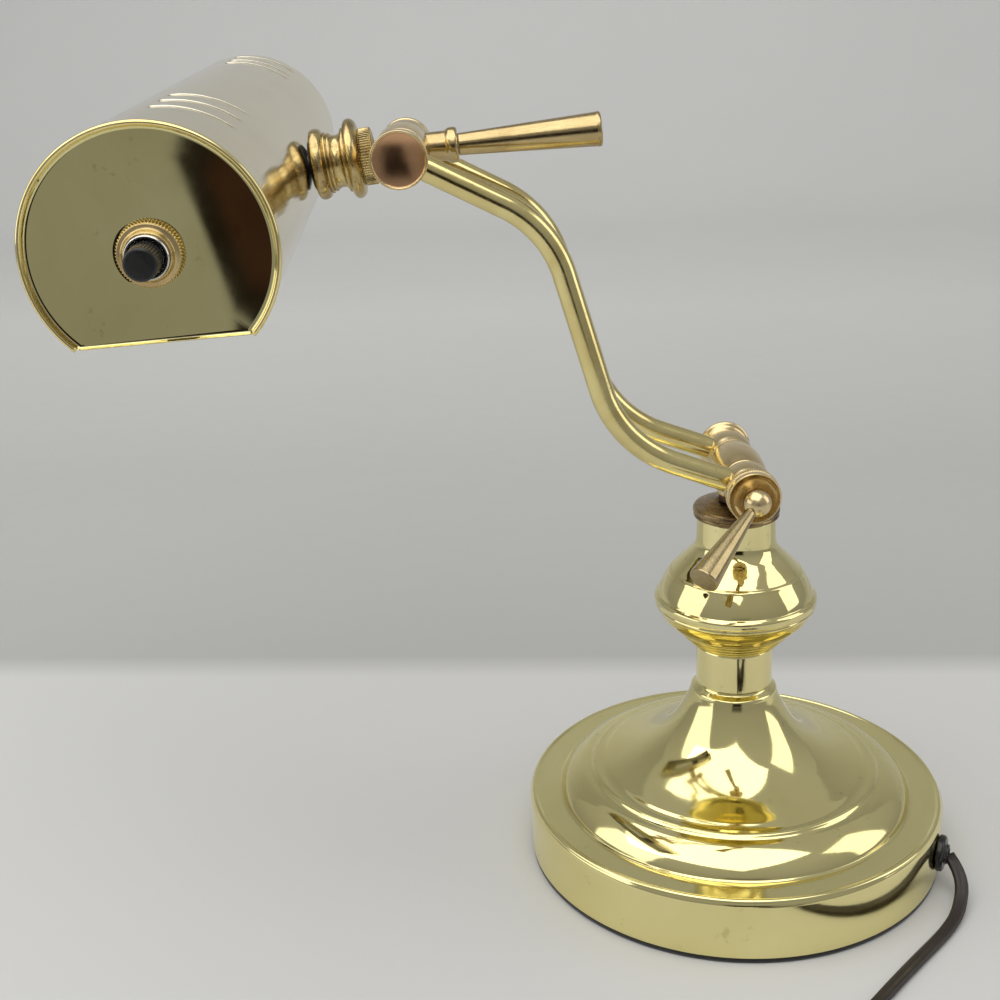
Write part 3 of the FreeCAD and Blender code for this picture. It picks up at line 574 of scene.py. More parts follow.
for nm, bxx in (("plug_blade_left", 63.75), ("plug_blade_right", 76.25)):
    bl = rounded_box(nm, (bxx, -204.3, 20.4), (1.5, 16.8, 6.4), 0.45, "blade", seg=3)
    done(bl, "base", *( ("plug_blades",) if nm.endswith("left") else ()), slot="blade_brass")

# ------------------------------------------------------------------ foot
foot_runs = [
    [(6.2, 90.0), (6.2, 95.4)],
    [(6.2, 95.4), (18.4, 95.4)],
    [(18.4, 95.4), (18.9, 94.3), (20.2, 93.4)],
    [(20.2, 93.4), (21.6, 92.4), (22.2, 90.6)],
    [(22.2, 90.6), (23.4, 87.0), (25.4, 82.4), (28.6, 76.3), (32.8, 70.0), (38.1, 64.3), (44.6, 59.4), (52.0, 55.3),
     (60.0, 52.2), (66.6, 50.2)],
    [(66.6, 50.2), (68.4, 49.4), (70.2, 48.9), (72.6, 48.6)],
    [(72.6, 48.6), (73.8, 48.1), (74.6, 47.2), (75.4, 46.6)],
    [(75.4, 46.6), (79.4, 45.7), (84.0, 43.3), (88.0, 40.0), (90.4, 36.6), (91.3, 34.6)],
    [(91.3, 34.6), (92.4, 34.0)],
    [(92.4, 34.0), (104.2, 33.9)],
    [(104.2, 33.9), (105.6, 34.5), (106.7, 34.1), (107.3, 33.0)],
    [(107.3, 33.0), (107.95, 31.9)],
    [(107.95, 31.9), (108.0, 26.0), (108.0, 8.0), (108.0, 3.2)],
    [(108.0, 3.2), (107.3, 2.3)],
    [(107.3, 2.3), (106.3, 2.3)],
    [(106.3, 2.3), (106.3, 31.0)],
]
foot = lathe("foot_shell", profile(foot_runs, 0.45, 6), (0, 0, 0), (0, 0, 1), "foot", 256)
done(foot, "base", "base_shell", slot="brass_polished")
felt = lathe("felt_disc", profile([[(0.0, 0.0), (106.6, 0.0)], [(106.6, 0.0), (107.5, 0.5), (107.6, 1.4), (107.2, 2.3)],
                                   [(107.2, 2.3), (0.0, 2.3)]], 0.2), (0, 0, 0), (0, 0, 1), "felt", 192)
done(felt, "base", "felt_pad", slot="felt")
grom_runs = [[(3.0, 4.0), (4.8, 4.0)], [(4.8, 4.0), (4.8, 5.9)], [(4.8, 5.9), (8.4, 6.0)],
             [(8.4, 6.0), (9.1, 6.6), (9.2, 7.8), (8.9, 9.0), (8.0, 9.7)], [(8.0, 9.7), (6.0, 9.9)],
             [(6.0, 9.9), (5.2, 10.4), (4.9, 11.2)], [(4.9, 11.2), (4.2, 11.5), (3.2, 11.4)], [(3.2, 11.4), (2.6, 10.0), (2.4, 4.0)]]
grom = lathe("lead_bushing", profile(grom_runs, 0.3, 4), (102.05 * ex, 102.05 * ey, 18.0), (ex, ey, 0), "grommet", 96)
done(grom, "base", "cord_grommet", slot="rubber_black")

# ------------------------------------------------------------------ column
collar = lathe("neck_ring_collar", profile([[(17.7, 0.0), (18.8, 0.0)], [(18.8, 0.0), (19.5, 0.6)], [(19.5, 0.6), (19.5, 10.0), (19.5, 20.3)],
                                            [(19.5, 20.3), (19.0, 21.25)], [(19.0, 21.25), (17.7, 21.25)]], 0.3),
               (0, 0, 95.7), (0, 0, 1), "column", 160)
done(collar, "base", "neck_collar", slot="brass_polished")
cup_runs = [[(6.1, 0.05), (20.2, 0.05)], [(20.2, 0.05), (21.2, 0.7), (21.2, 1.5)], [(21.2, 1.5), (21.9, 1.9)],
            [(21.9, 1.9), (23.2, 2.3), (23.6, 3.2), (23.5, 3.9)], [(23.5, 3.9), (24.2, 4.4)],
            [(24.2, 4.4), (25.6, 4.9), (26.0, 5.8), (25.9, 6.5)], [(25.9, 6.5), (26.7, 7.0)],
            [(26.7, 7.0), (28.4, 7.6), (28.9, 8.5), (28.8, 9.2)], [(28.8, 9.2), (29.6, 9.7)],
            [(29.6, 9.7), (31.4, 10.8), (34.4, 13.4), (37.0, 16.6), (38.5, 20.1)], [(38.5, 20.1), (38.0, 20.35)],
            [(38.0, 20.35), (30.0, 20.35)]]
cup = lathe("ridged_cup", profile(cup_runs, 0.25, 5), (0, 0, 117.1), (0, 0, 1), "cup", 192)
done(cup, "base", "lower_cup", slot="brass_cup")
vase_runs = [[(36.9, 0.1), (38.4, 0.1)], [(38.4, 0.1), (39.5, 0.5), (40.2, 1.5), (39.9, 2.6)],
             [(39.9, 2.6), (40.5, 3.3), (40.8, 4.9), (40.6, 6.4), (39.8, 7.4)], [(39.8, 7.4), (39.0, 8.0)],
             [(39.0, 8.0), (38.2, 10.4), (37.0, 13.2), (35.4, 16.2), (33.8, 18.9)],
             [(33.8, 18.9), (33.2, 20.0), (32.0, 20.8)],
             [(32.0, 20.8), (30.4, 22.6), (27.8, 25.4), (25.0, 28.2), (22.6, 30.6), (20.8, 33.2), (19.9, 36.2), (19.65, 40.0)],
             [(19.65, 40.0), (19.6, 44.0), (19.6, 48.5)], [(19.6, 48.5), (6.2, 48.5)]]
vase = lathe("vase_shell", profile(vase_runs, 0.4, 6), (0, 0, 137.6), (0, 0, 1), "column", 224)
done(vase, "base", "vase_body", slot="brass_polished")
cap_runs = [[(6.0, 0.05), (20.2, 0.05)], [(20.2, 0.05), (21.1, 0.5), (21.2, 1.3), (20.8, 2.1)],
            [(20.8, 2.1), (21.4, 2.7), (21.5, 4.0), (21.2, 5.0), (20.4, 5.8)], [(20.4, 5.8), (19.4, 6.0)],
            [(19.4, 6.0), (17.6, 6.3), (14.0, 6.8), (10.4, 7.5), (8.6, 7.65)], [(8.6, 7.65), (5.1, 7.65)]]
cap = lathe("column_top_cap", profile(cap_runs, 0.3, 5), (0, 0, 186.3), (0, 0, 1), "cap", 160)
done(cap, "base", "column_cap", slot="brass_dark")

# ------------------------------------------------------------------ lower knuckle
HP = 210.8
# jam nut under the swivel drum, coloured very dark as painted shade
lock = lathe("swivel_jam_nut", profile([[(5.1, 0.0), (8.0, 0.0)], [(8.0, 0.0), (8.8, 0.5)], [(8.8, 0.5), (8.8, 3.0)],
                                        [(8.8, 3.0), (8.0, 3.5)], [(8.0, 3.5), (5.1, 3.5)]], 0.15, 4),
             (0, 0, 194.1), (0, 0, 1), "nut", teeth=44, tooth=0.55, where=lambda r, z: r > 8.3)
done(lock, "swivel", "swivel_lock_nut", slot="brass_dark")


def drum_pts(r, w, bore=4.2, neck=1.9, lip=1.2):
    """Barrel with a full belly that draws in towards both ends."""
    e = r - neck
    return profile([[(bore, 0.0), (e - 0.5, 0.0)], [(e - 0.5, 0.0), (e, 0.4)], [(e, 0.4), (e + 0.05, lip)],
                    [(e + 0.05, lip), (r - 0.35 * neck, w * 0.20), (r, w * 0.42), (r, w * 0.58), (r - 0.35 * neck, w * 0.80), (e + 0.05, w - lip)],
                    [(e + 0.05, w - lip), (e, w - 0.4)], [(e, w - 0.4), (e - 0.5, w)], [(e - 0.5, w), (bore, w)]], 0.2, 6)


cen = lathe("swivel_drum", drum_pts(12.6, 34.0, neck=2.2), (0, -20.0, HP), (0, 1, 0), "satin", 128)
done(cen, "swivel", "lower_center_barrel", slot="brass_satin")
stem = lathe("swivel_stem", profile([[(5.1, 0.05), (8.8, 0.05)], [(8.8, 0.05), (9.6, 0.5), (9.8, 1.4)], [(9.8, 1.4), (9.7, 3.0), (9.2, 7.0)]], 0.2),
             (0, 0, 197.7), (0, 0, 1), "satin", 96)
done(stem, "swivel", slot="brass_satin")
for nm, nd_, y0, w, x, z in (("arm_drum_near_low", "lower_barrel_near", -37.0, 16.9, 0.0, HP),
                             ("arm_drum_far_low", "lower_barrel_far", 14.1, 17.9, 0.0, HP),
                             ("arm_drum_near_high", "upper_barrel_near", -40.6, 20.5, -154.7, 370.6),
                             ("arm_drum_far_high", "upper_barrel_far", 14.1, 19.4, -154.7, 370.6)):
    o = lathe(nm, drum_pts(11.8, w, neck=1.5), (x, y0, z), (0, 1, 0), "satin", 128)
    done(o, "arm", nd_, slot="brass_satin")
dish_runs = [[(4.1, 0.1), (11.0, 0.1)], [(11.0, 0.1), (11.6, 0.5), (11.9, 1.2)], [(11.9, 1.2), (12.7, 1.6)],
             [(12.7, 1.6), (12.75, 4.6)], [(12.75, 4.6), (12.0, 5.0)], [(12.0, 5.0), (12.2, 5.6)],
             [(12.2, 5.6), (12.4, 7.0), (12.4, 8.9)], [(12.4, 8.9), (12.1, 9.35), (11.6, 9.2)],
             [(11.6, 9.2), (10.9, 7.9), (9.2, 6.2), (7.2, 5.1), (5.6, 4.6), (4.1, 4.4)]]
dish = lathe("pivot_dish_nut", profile(dish_runs, 0.15, 5), (0, -37.1, HP), (0, -1, 0), "satin", teeth=72, tooth=0.62,
             where=lambda r, z: r > 12.45 and z < 4.9)
done(dish, "arm", "lower_dish_nut", slot="brass_satin")
ecap_runs = [[(4.1, 0.1), (9.4, 0.1)], [(9.4, 0.1), (10.0, 0.8), (11.2, 2.5), (12.6, 3.4)],
             [(12.6, 3.4), (13.1, 3.9), (13.2, 4.7), (12.8, 5.5)], [(12.8, 5.5), (11.0, 6.8), (8.0, 8.1), (4.0, 8.8), (0.0, 9.0)]]
ecap = lathe("pivot_end_flange", profile(ecap_runs, 0.2, 5), (0, 32.1, HP), (0, 1, 0), "satin", 128)
done(ecap, "arm", "lower_end_cap", slot="brass_satin")
ucap = lathe("head_end_cap", profile([[(4.1, 0.1), (10.8, 0.1)], [(10.8, 0.1), (11.6, 0.4), (12.0, 1.2)],
                                      [(12.0, 1.2), (12.0, 2.8)], [(12.0, 2.8), (11.4, 4.1), (9.6, 5.4), (6.6, 6.6), (3.0, 7.2), (0.0, 7.4)]], 0.2),
             (-154.7, 33.6, 370.6), (0, 1, 0), "satin", 128)
done(ucap, "arm", "upper_end_cap", slot="brass_satin")
ball_pts = [(6.6 * math.sin(math.pi * k / 40), -6.6 * math.cos(math.pi * k / 40)) for k in range(41)]
ball_pts[0] = (0.0, -6.6)
ball_pts[-1] = (0.0, 6.6)
ball = lathe("clamp_ball", ball_pts, (0, -51.5, HP), (0, -1, 0), "satin", 96)
done(ball, "clamp", "lever_ball", slot="brass_satin")
bstud = lathe("clamp_stud", profile([[(0.0, 0.0), (3.2, 0.0)], [(3.2, 0.0), (3.2, 5.0)], [(3.2, 5.0), (0.0, 5.0)]], 0.2),
              (0, -42.2, HP), (0, -1, 0), "satin", 48)
done(bstud, "clamp", slot="brass_satin")
ldir = Vector((-30.0, -31.8, -24.1)).normalized()
lorg = Vector((0, -51.5, HP)) + ldir * 5.6
lever_pts = profile([[(0.0, -0.4), (2.1, -0.4)], [(2.1, -0.4), (2.5, 0.8)], [(2.5, 0.8), (4.7, 22.0), (7.05, 43.3)],
                     [(7.05, 43.3), (6.9, 43.9), (6.6, 44.0)], [(6.6, 44.0), (3.0, 44.0), (0.0, 44.0)]], 0.2, 8)
lever = lathe("clamp_lever_bar", lever_pts, tuple(lorg), tuple(ldir), "lever", 96)
done(lever, "clamp", "clamp_lever", slot="brass_satin")


# ------------------------------------------------------------------ arm tubes
def bent(points, radii, step=2.0):
    out = [Vector(points[0])]
    for i in range(1, len(points) - 1):
        p0, p1, p2 = (Vector(q) for q in points[i - 1:i + 2])
        a, b = (p0 - p1).normalized(), (p2 - p1).normalized()
        half = (math.pi - a.angle(b)) / 2
        t = radii[i - 1] * math.tan(half)
        c = p1 + (a + b).normalized() * (radii[i - 1] / math.cos(half))
        s, e = p1 + a * t, p1 + b * t
        n = max(6, int(radii[i - 1] * 2 * half / step))
        last = out[-1]
        m_ = max(1, int((s - last).length / 6))
        for k in range(1, m_):
            out.append(last.lerp(s, k / m_))
        vs, ve = s - c, e - c
        for k in range(n + 1):
            out.append(c + vs.slerp(ve, k / n).normalized() * radii[i - 1])
    last, end = out[-1], Vector(points[-1])
    m_ = max(1, int((end - last).length / 6))
    for k in range(1, m_ + 1):
        out.append(last.lerp(end, k / m_))
    return out


def pipe(name, pts, radius, mat, seg=48, end_r=0.4):
    verts, faces = [], []
    n = len(pts)
    for i, p in enumerate(pts):
        t = (pts[min(i + 1, n - 1)] - pts[max(i - 1, 0)]).normalized()
        y = Vector((0, 1, 0))
        u = t.cross(y).normalized()
        for k in range(seg):
            a = 2 * math.pi * k / seg
            verts.append((p + (u * math.cos(a) + y * math.sin(a)) * radius) * MM)
    for i in range(n - 1):
        for k in range(seg):
            l = (k + 1) % seg
            faces.append((i * seg + k, i * seg + l, (i + 1) * seg + l, (i + 1) * seg + k))
    faces.append(tuple(range(seg))[::-1])
    faces.append(tuple((n - 1) * seg + k for k in range(seg)))
    return mesh_object(name, verts, faces, mat, sharp=60)


for nm, y in (("arm_tube_near", -28.0), ("arm_tube_far", 23.0)):
    p = bent([(-154.7, y, 370.6), (-90.4, y, 336.9), (-61.2, y, 234.3), (0, y, HP)], [52.0, 56.0])
    end0, end1 = p[0].copy(), p[-1].copy()
    p = [q for q in p if (q - end0).length > 10.6 and (q - end1).length > 10.6]
    p.insert(0, end0 + (p[0] - end0).normalized() * 10.2)
    p.append(end1 + (p[-1] - end1).normalized() * 10.2)
    o = pipe(nm + "_skin", p, 5.7, "tube")
    done(o, "arm", nm, slot="brass_brushed")

# ------------------------------------------------------------------ upper knuckle
UP = Vector((-154.7, 0, 370.6))
disc_runs = [[(0.0, 0.1), (11.8, 0.1)], [(11.8, 0.1), (12.6, 0.7)], [(12.6, 0.7), (12.7, 2.4), (12.6, 4.4)],
             [(12.6, 4.4), (12.3, 4.95), (11.9, 5.05)], [(11.9, 5.05), (11.5, 4.9)], [(11.5, 4.9), (11.2, 4.4)],
             [(11.2, 4.4), (0.0, 2.2)]]
disc = lathe("head_friction_disc", profile(disc_runs, 0.12, 4), (-154.7, -40.8, 370.6), (0, -1, 0), "satin",
             teeth=92, tooth=0.32, where=lambda r, z: r > 12.2 and 0.6 < z < 4.7, mats=["satin", "disc"],
             pick=lambda a, b: 1 if a[0] <= 11.25 and b[0] <= 11.25 and a[1] > 1.0 else 0)
done(disc, "friction_disc", "upper_disc_knob", slot="brass_copper_tone")
ucen = lathe("head_drum", drum_pts(12.5, 34.0, neck=1.2), (-154.7, -20.0, 370.6), (0, 1, 0), "satin", 128)
done(ucen, "head", "upper_center_barrel", slot="brass_satin")
na, ha = math.radians(6.9), math.radians(3.6)
ND = Vector((-math.cos(na), 0, -math.sin(na)))
HD = Vector((math.cos(ha), 0, math.sin(ha)))
hub_runs = [[(6.7, 0.0), (6.7, 5.0), (6.7, 9.6)], [(6.7, 9.6), (7.2, 10.2), (7.8, 11.2), (7.95, 12.6), (7.9, 14.2), (7.5, 14.9)],
            [(7.5, 14.9), (6.6, 15.15)], [(6.6, 15.15), (0.0, 15.15)]]
hub = lathe("handle_socket", profile(hub_runs, 0.25, 5), tuple(UP + HD * 10.0), tuple(HD), "handle", 96)
done(hub, "head", "handle_hub", slot="brass_satin")
hnd = lathe("handle_grip", profile([[(0.0, 0.0), (4.7, 0.0)], [(4.7, 0.0), (5.0, 0.4)], [(5.0, 0.4), (5.05, 3.0), (5.3, 9.0), (6.5, 36.0), (7.7, 63.2)],
                                    [(7.7, 63.2), (7.9, 63.9), (7.7, 64.8), (7.2, 65.2)], [(7.2, 65.2), (6.2, 65.0), (0.0, 64.9)]], 0.2, 7),
            tuple(UP + HD * 25.3), tuple(HD), "handle", 96)
done(hnd, "head", "head_handle", slot="brass_satin")

# ------------------------------------------------------------------ neck
ring = lathe("neck_jam_ring", profile([[(5.2, 0.0), (12.0, 0.0)], [(12.0, 0.0), (12.8, 0.7)], [(12.8, 0.7), (12.8, 5.3)],
                                       [(12.8, 5.3), (12.2, 5.9)], [(12.2, 5.9), (5.2, 5.9)]], 0.2, 4),
             tuple(UP + ND * 13.0), tuple(ND), "neck", teeth=64, tooth=0.75, where=lambda r, z: r > 12.3)
done(ring, "head", "neck_lock_ring", slot="brass_aged")
spool_runs = [[(5.2, 0.05), (13.6, 0.05)], [(13.6, 0.05), (15.9, 0.7), (17.4, 2.0), (17.9, 3.5), (17.4, 5.0), (15.9, 6.1)],
              [(15.9, 6.1), (14.4, 6.3)], [(14.4, 6.3), (14.5, 6.9), (14.2, 7.6)], [(14.2, 7.6), (13.4, 7.8)],
              [(13.4, 7.8), (12.2, 8.6), (11.7, 10.1), (11.8, 11.5), (12.4, 12.6)], [(12.4, 12.6), (12.9, 12.9)],
              [(12.9, 12.9), (13.1, 13.5), (12.9, 14.1)], [(12.9, 14.1), (12.7, 14.4)], [(12.7, 14.4), (13.6, 14.8), (13.7, 15.4), (13.4, 15.9)],
              [(13.4, 15.9), (13.9, 16.1)], [(13.9, 16.1), (15.2, 17.0), (15.9, 19.2), (15.4, 21.2), (14.0, 22.0)], [(14.0, 22.0), (5.2, 22.05)]]
spool = lathe("neck_spool_turning", profile(spool_runs, 0.22, 5), tuple(UP + ND * 19.0), tuple(ND), "neck", 160)
done(spool, "head", "neck_spool", slot="brass_aged")
wsh = lathe("neck_fibre_washer", profile([[(5.2, 0.0), (10.8, 0.0)], [(10.8, 0.0), (11.0, 0.2), (11.0, 0.7), (10.8, 0.9)], [(10.8, 0.9), (5.2, 0.9)]], 0.1),
            tuple(UP + ND * 41.15), tuple(ND), "washer", 96)
done(wsh, "head", "neck_washer", slot="rubber_black")

# ------------------------------------------------------------------ shade
SC = UP + ND * 87.6
tip = Quaternion(-ND, math.radians(2.2))
yw = Quaternion((0, 0, 1), math.radians(1.4))
SF = (tip @ yw).to_matrix().to_4x4()
SF.translation = SC * MM
RS, WALL, HALF, CUT, TIP = 45.1, 0.8, 164.7, 31.4, math.radians(2.4)
neck_l = (SF.to_3x3().inverted() @ (-ND))


def arc_angles(r, d, n):
    a = math.acos(d / r)
    s0 = -math.pi / 2 + TIP + a
    s1 = -math.pi / 2 + TIP - a + 2 * math.pi
    return [s0 + (s1 - s0) * k / n for k in range(n + 1)]


# three fine raised lines near each end, over the top of
# the shade
line_sets = [(-114.5, -91.8, -69.5), (103.4, 120.3, 144.5)]
LINE_A = (math.radians(52.5), math.radians(95.0))
ys = set()
y = -HALF + 2.2
while y < HALF - 2.2:
    ys.add(round(y, 3))
    y += 6.0
ys.add(HALF - 2.2)
for sset in line_sets:
    for c in sset:
        for k in (-0.9, -0.6, -0.35, -0.15, 0.0, 0.15, 0.35, 0.6, 0.9):
            ys.add(round(c + k, 3))
ys = sorted(ys)
NA = 220
angs = arc_angles(RS, CUT, NA)
angs_in = arc_angles(RS - WALL, CUT, NA)


def line_height(y, a):
    h = 0.0
    for sset in line_sets:
        for c in sset:
            d = abs(y - c)
            if d < 0.9:
                lo, hi = LINE_A
                edge = min(a - lo, hi - a)
                if edge > 0:
                    w = min(1.0, edge / 0.03)
                    h = max(h, w * 0.42 * math.exp(-(d / 0.40) ** 2))
    return h


verts, faces, fm = [], [], []
for yy in ys:
    for a in angs:
        r = RS + line_height(yy, a)
        verts.append(SF @ (Vector((r * math.cos(a), yy, r * math.sin(a))) * MM))
base_in = len(verts)
for yy in ys:
    for a in angs_in:
        r = RS - WALL
        verts.append(SF @ (Vector((r * math.cos(a), yy, r * math.sin(a))) * MM))
nc = NA + 1
for i in range(len(ys) - 1):
    for k in range(NA):
        faces.append((i * nc + k, (i + 1) * nc + k, (i + 1) * nc + k + 1, i * nc + k + 1))
        ymid, amid = (ys[i] + ys[i + 1]) / 2, (angs[k] + angs[k + 1]) / 2
        # faces along the tops of the raised lines take the brighter ridge material, a painted highlight
        fm.append(2 if line_height(ymid, amid) > 0.20 else 0)
        faces.append((base_in + i * nc + k, base_in + i * nc + k + 1, base_in + (i + 1) * nc + k + 1, base_in + (i + 1) * nc + k))
        fm.append(1)
    for k in (0, NA):
        faces.append((i * nc + k, base_in + i * nc + k, base_in + (i + 1) * nc + k, (i + 1) * nc + k))
        fm.append(0)
for i in (0, len(ys) - 1):
    for k in range(NA):
        faces.append((i * nc + k, i * nc + k + 1, base_in + i * nc + k + 1, base_in + i * nc + k))
        fm.append(0)
shade = mesh_object("shade_skin", verts, faces, "shade", sharp=50, mats=["shade", "shade_in", "ridge"], face_mats=fm)
done(shade, "shade", "shade_shell", slot="brass_shade")


# end: flat mirror-bright disc set back inside a rolled bead that follows the
# round part only; the flat side is a plain folded edge
def end_piece(name, y_out, sign, nd_):
    N = 160
    a_list = arc_angles(RS - WALL, CUT - 0.1, N)
    verts, faces, fmat = [], [], []
    y_disc = y_out - sign * 2.6

    def D(r, d, n=N):
        return [(r * math.cos(a), r * math.sin(a)) for a in arc_angles(r, d, n)]
    # the bead, swept round the arc with closed ends
    bead_r = 1.25
    cr = RS - 0.35 if sign < 0 else RS - 1.5
    nb = 14
    for a in arc_angles(cr, CUT + 0.2, N):
        for k in range(nb):
            b = 2 * math.pi * k / nb
            rr = cr + bead_r * math.cos(b) * 0.82
            yy = y_out - sign * 1.15 + sign * bead_r * math.sin(b) * 0.95
            verts.append(Vector((rr * math.cos(a), yy, rr * math.sin(a))))
    for i in range(N):
        for k in range(nb):
            l = (k + 1) % nb
            faces.append((i * nb + k, i * nb + l, (i + 1) * nb + l, (i + 1) * nb + k))
            fmat.append(1)
    faces.append(tuple(range(nb)))
    fmat.append(1)
    faces.append(tuple(N * nb + k for k in range(nb)))
    fmat.append(1)
    ob1 = mesh_object(name + "_bead", [SF @ (v * MM) for v in verts], faces, "rim", weighted=False)
    # skirt wall inside the shell and the disc
    verts, faces, fmat = [], [], []
    loops = []
    for (r, d, yy) in ((RS - WALL - 0.1, CUT - 0.05, y_out - sign * 5.0), (RS - WALL - 0.1, CUT - 0.05, y_out - sign * 1.2),
                       (RS - WALL - 0.55, CUT - 0.05, y_out - sign * 1.6), (RS - WALL - 0.9, CUT - 0.35, y_disc + sign * 0.35),
                       (RS - WALL - 1.3, CUT - 0.7, y_disc + sign * 0.05), (RS - WALL - 2.2, CUT - 1.6, y_disc)):
        loop = []
        arc = D(r, d)
        # close the flat side with its own run of points
        p, q = arc[-1], arc[0]
        flat = [(p[0] + (q[0] - p[0]) * k / 40, p[1] + (q[1] - p[1]) * k / 40) for k in range(1, 40)]
        for (x, z) in arc + flat:
            loop.append(len(verts))
            verts.append(Vector((x, yy, z)))
        loops.append(loop)
    for A_, B_ in zip(loops, loops[1:]):
        for k in range(len(A_)):
            l = (k + 1) % len(A_)
            faces.append((A_[k], A_[l], B_[l], B_[k]))
    inner = [verts[i].copy() for i in loops[-1]]
    if sign < 0:
        hole_r = 5.2
    else:
        hole_r = 0.0
    prev = loops[-1]
    for f_ in (0.8, 0.6, 0.4, 0.22, 0.0):
        loop = []
        for v in inner:
            ang = math.atan2(v.z, v.x)
            tgt = Vector((hole_r * math.cos(ang), v.y, hole_r * math.sin(ang)))
            q = tgt.lerp(v, f_) if (f_ > 0 or hole_r > 0) else Vector((0, v.y, 0))
            loop.append(len(verts))
            verts.append(q)
        for k in range(len(prev)):
            l = (k + 1) % len(prev)
            faces.append((prev[k], prev[l], loop[l], loop[k]))
        prev = loop
    ob2 = mesh_object(name + "_disc", [SF @ (v * MM) for v in verts], faces, "end", sharp=45)
    sol = ob2.modifiers.new("sheet", "SOLIDIFY")
    sol.thickness = 0.0006
    sol.offset = -1.0
    done(ob2, "shade", nd_, slot="brass_polished")
    done(ob1, "shade", slot="brass_polished")


end_piece("switch_end", -HALF, -1, "shade_end_near")
end_piece("plain_end", HALF, 1, "shade_end_far")

# switch: knurled ring nut, bright inner ring, ribbed black knob
rn_runs = [[(5.2, 0.05), (11.0, 0.05)], [(11.0, 0.05), (11.8, 0.5)], [(11.8, 0.5), (11.8, 2.4)], [(11.8, 2.4), (11.0, 3.3)],
           [(11.0, 3.3), (9.4, 3.9), (8.9, 4.9)], [(8.9, 4.9), (8.6, 5.6), (8.1, 5.9)], [(8.1, 5.9), (7.7, 5.2), (7.6, 3.0)]]
rn = lathe("switch_knurled_nut", profile(rn_runs, 0.15, 4), (0, -162.15, 0), (0, -1, 0), "ringnut", teeth=60, tooth=0.5,
           where=lambda r, z: r > 11.1 and z < 3.2, base=SF)
done(rn, "shade", "switch_ring_nut", slot="brass_nut")
sr = lathe("switch_bright_ring", profile([[(8.0, 2.6), (8.0, 5.2)], [(8.0, 5.2), (7.9, 7.6)], [(7.9, 7.6), (7.5, 8.0), (7.0, 7.8)],
                                          [(7.0, 7.8), (6.6, 6.8), (6.5, 4.0)], [(6.5, 4.0), (5.3, 3.8)], [(5.3, 3.8), (5.2, 0.2)]], 0.15, 4),
           (0, -162.15, 0), (0, -1, 0), "silver", 96, base=SF)
done(sr, "shade", "switch_bushing", slot="steel")
kb = lathe("switch_ribbed_knob", profile([[(0.0, 0.0), (5.6, 0.0)], [(5.6, 0.0), (6.1, 0.5)], [(6.1, 0.5), (6.1, 5.0), (6.0, 10.4)], [(6.0, 10.4), (5.7, 11.1), (5.0, 11.5)],
                                          [(5.0, 11.5), (2.5, 11.6), (0.0, 11.6)]], 0.15, 5),
           (0, -170.2, 0), (0, -1, 0), "black", teeth=34, tooth=0.42, where=lambda r, z: r > 5.85 and 0.4 < z < 10.6, base=SF)
done(kb, "knob", "switch_knob", slot="plastic_black")

# lamp holder and tubular bulb inside
lh = lathe("lamp_holder", profile([[(0.0, 0.1), (8.6, 0.1)], [(8.6, 0.1), (10.2, 1.2), (13.6, 5.4), (16.2, 8.8)], [(16.2, 8.8), (17.3, 10.8)],
                                   [(17.3, 10.8), (17.4, 20.0), (17.4, 30.0)], [(17.4, 30.0), (16.9, 30.4)], [(16.9, 30.4), (16.9, 31.4)],
                                   [(16.9, 31.4), (17.4, 31.8)], [(17.4, 31.8), (17.4, 42.0)], [(17.4, 42.0), (16.6, 42.9)],
                                   [(16.6, 42.9), (13.8, 42.9)], [(13.8, 42.9), (13.7, 16.0)]], 0.3, 5),
           (0, -62.7, 0), (0, 1, 0), "socket", 96, base=SF)
done(lh, "shade", "lamp_socket", slot="plastic_black")
bg = lathe("tube_bulb", profile([[(12.2, 0.0), (12.5, 3.0), (13.4, 6.0), (14.8, 9.6), (15.7, 14.0), (16.0, 20.0), (16.0, 60.0), (16.0, 104.0),
                                  (15.4, 109.0), (13.4, 113.6), (9.8, 117.2), (5.2, 119.4), (0.0, 120.0)]], 0.3, 5),
           (0, -19.9, 0), (0, 1, 0), "bulb", 96, base=SF)
done(bg, "shade", "bulb_glass", slot="bulb_frost")
bc_pts = [[(12.4, 28.4), (13.2, 27.0)]]
zz = 27.0
while zz > 8.0:
    bc_pts.append([(12.7, zz), (13.35, zz - 0.9), (12.7, zz - 1.8)])
    zz -= 1.8
bc_pts.append([(12.7, zz), (11.0, 4.0), (6.0, 1.6)])
bc_pts.append([(6.0, 1.6), (4.0, 0.1), (0.0, 0.1)])
bc = lathe("bulb_screw_cap", profile(bc_pts, 0.1, 4), (0, -48.4, 0), (0, 1, 0), "steel", 96, base=SF)
done(bc, "shade", "bulb_cap", slot="bulb_metal")

# ------------------------------------------------------------------ carried-over pieces
for nd_, mt in (("base_weight", "iron"), ("threaded_rod", "steel"), ("bottom_nut", "steel"), ("bottom_washer", "steel"),
                ("swivel_nipple", "steel"), ("lower_pin", "satin"), ("upper_pin", "satin"), ("neck_nipple", "steel"),
                ("shade_nut", "steel"), ("socket_bracket", "steel"), ("switch_body", "socket"), ("switch_lead", "cord")):
    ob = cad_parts[nd_]
    ob.data.materials.clear()
    ob.data.materials.append(M[mt])

# ------------------------------------------------------------------ surroundings


def flat_mat(name, c, rough):
    mt = bpy.data.materials.new(name)
    mt.use_nodes = True
    nt = mt.node_tree
    b = nt.nodes["Principled BSDF"]
    b.inputs["Roughness"].default_value = rough
    b.inputs["Specular IOR Level"].default_value = 0.3
    v = mapped(nt)
    link(nt, ramp(nt, noise(nt, v, 3.0, 2.0, 0.5), [(0.3, tuple(x * 0.985 for x in c)), (0.7, c)]), b.inputs["Base Color"])
    return mt


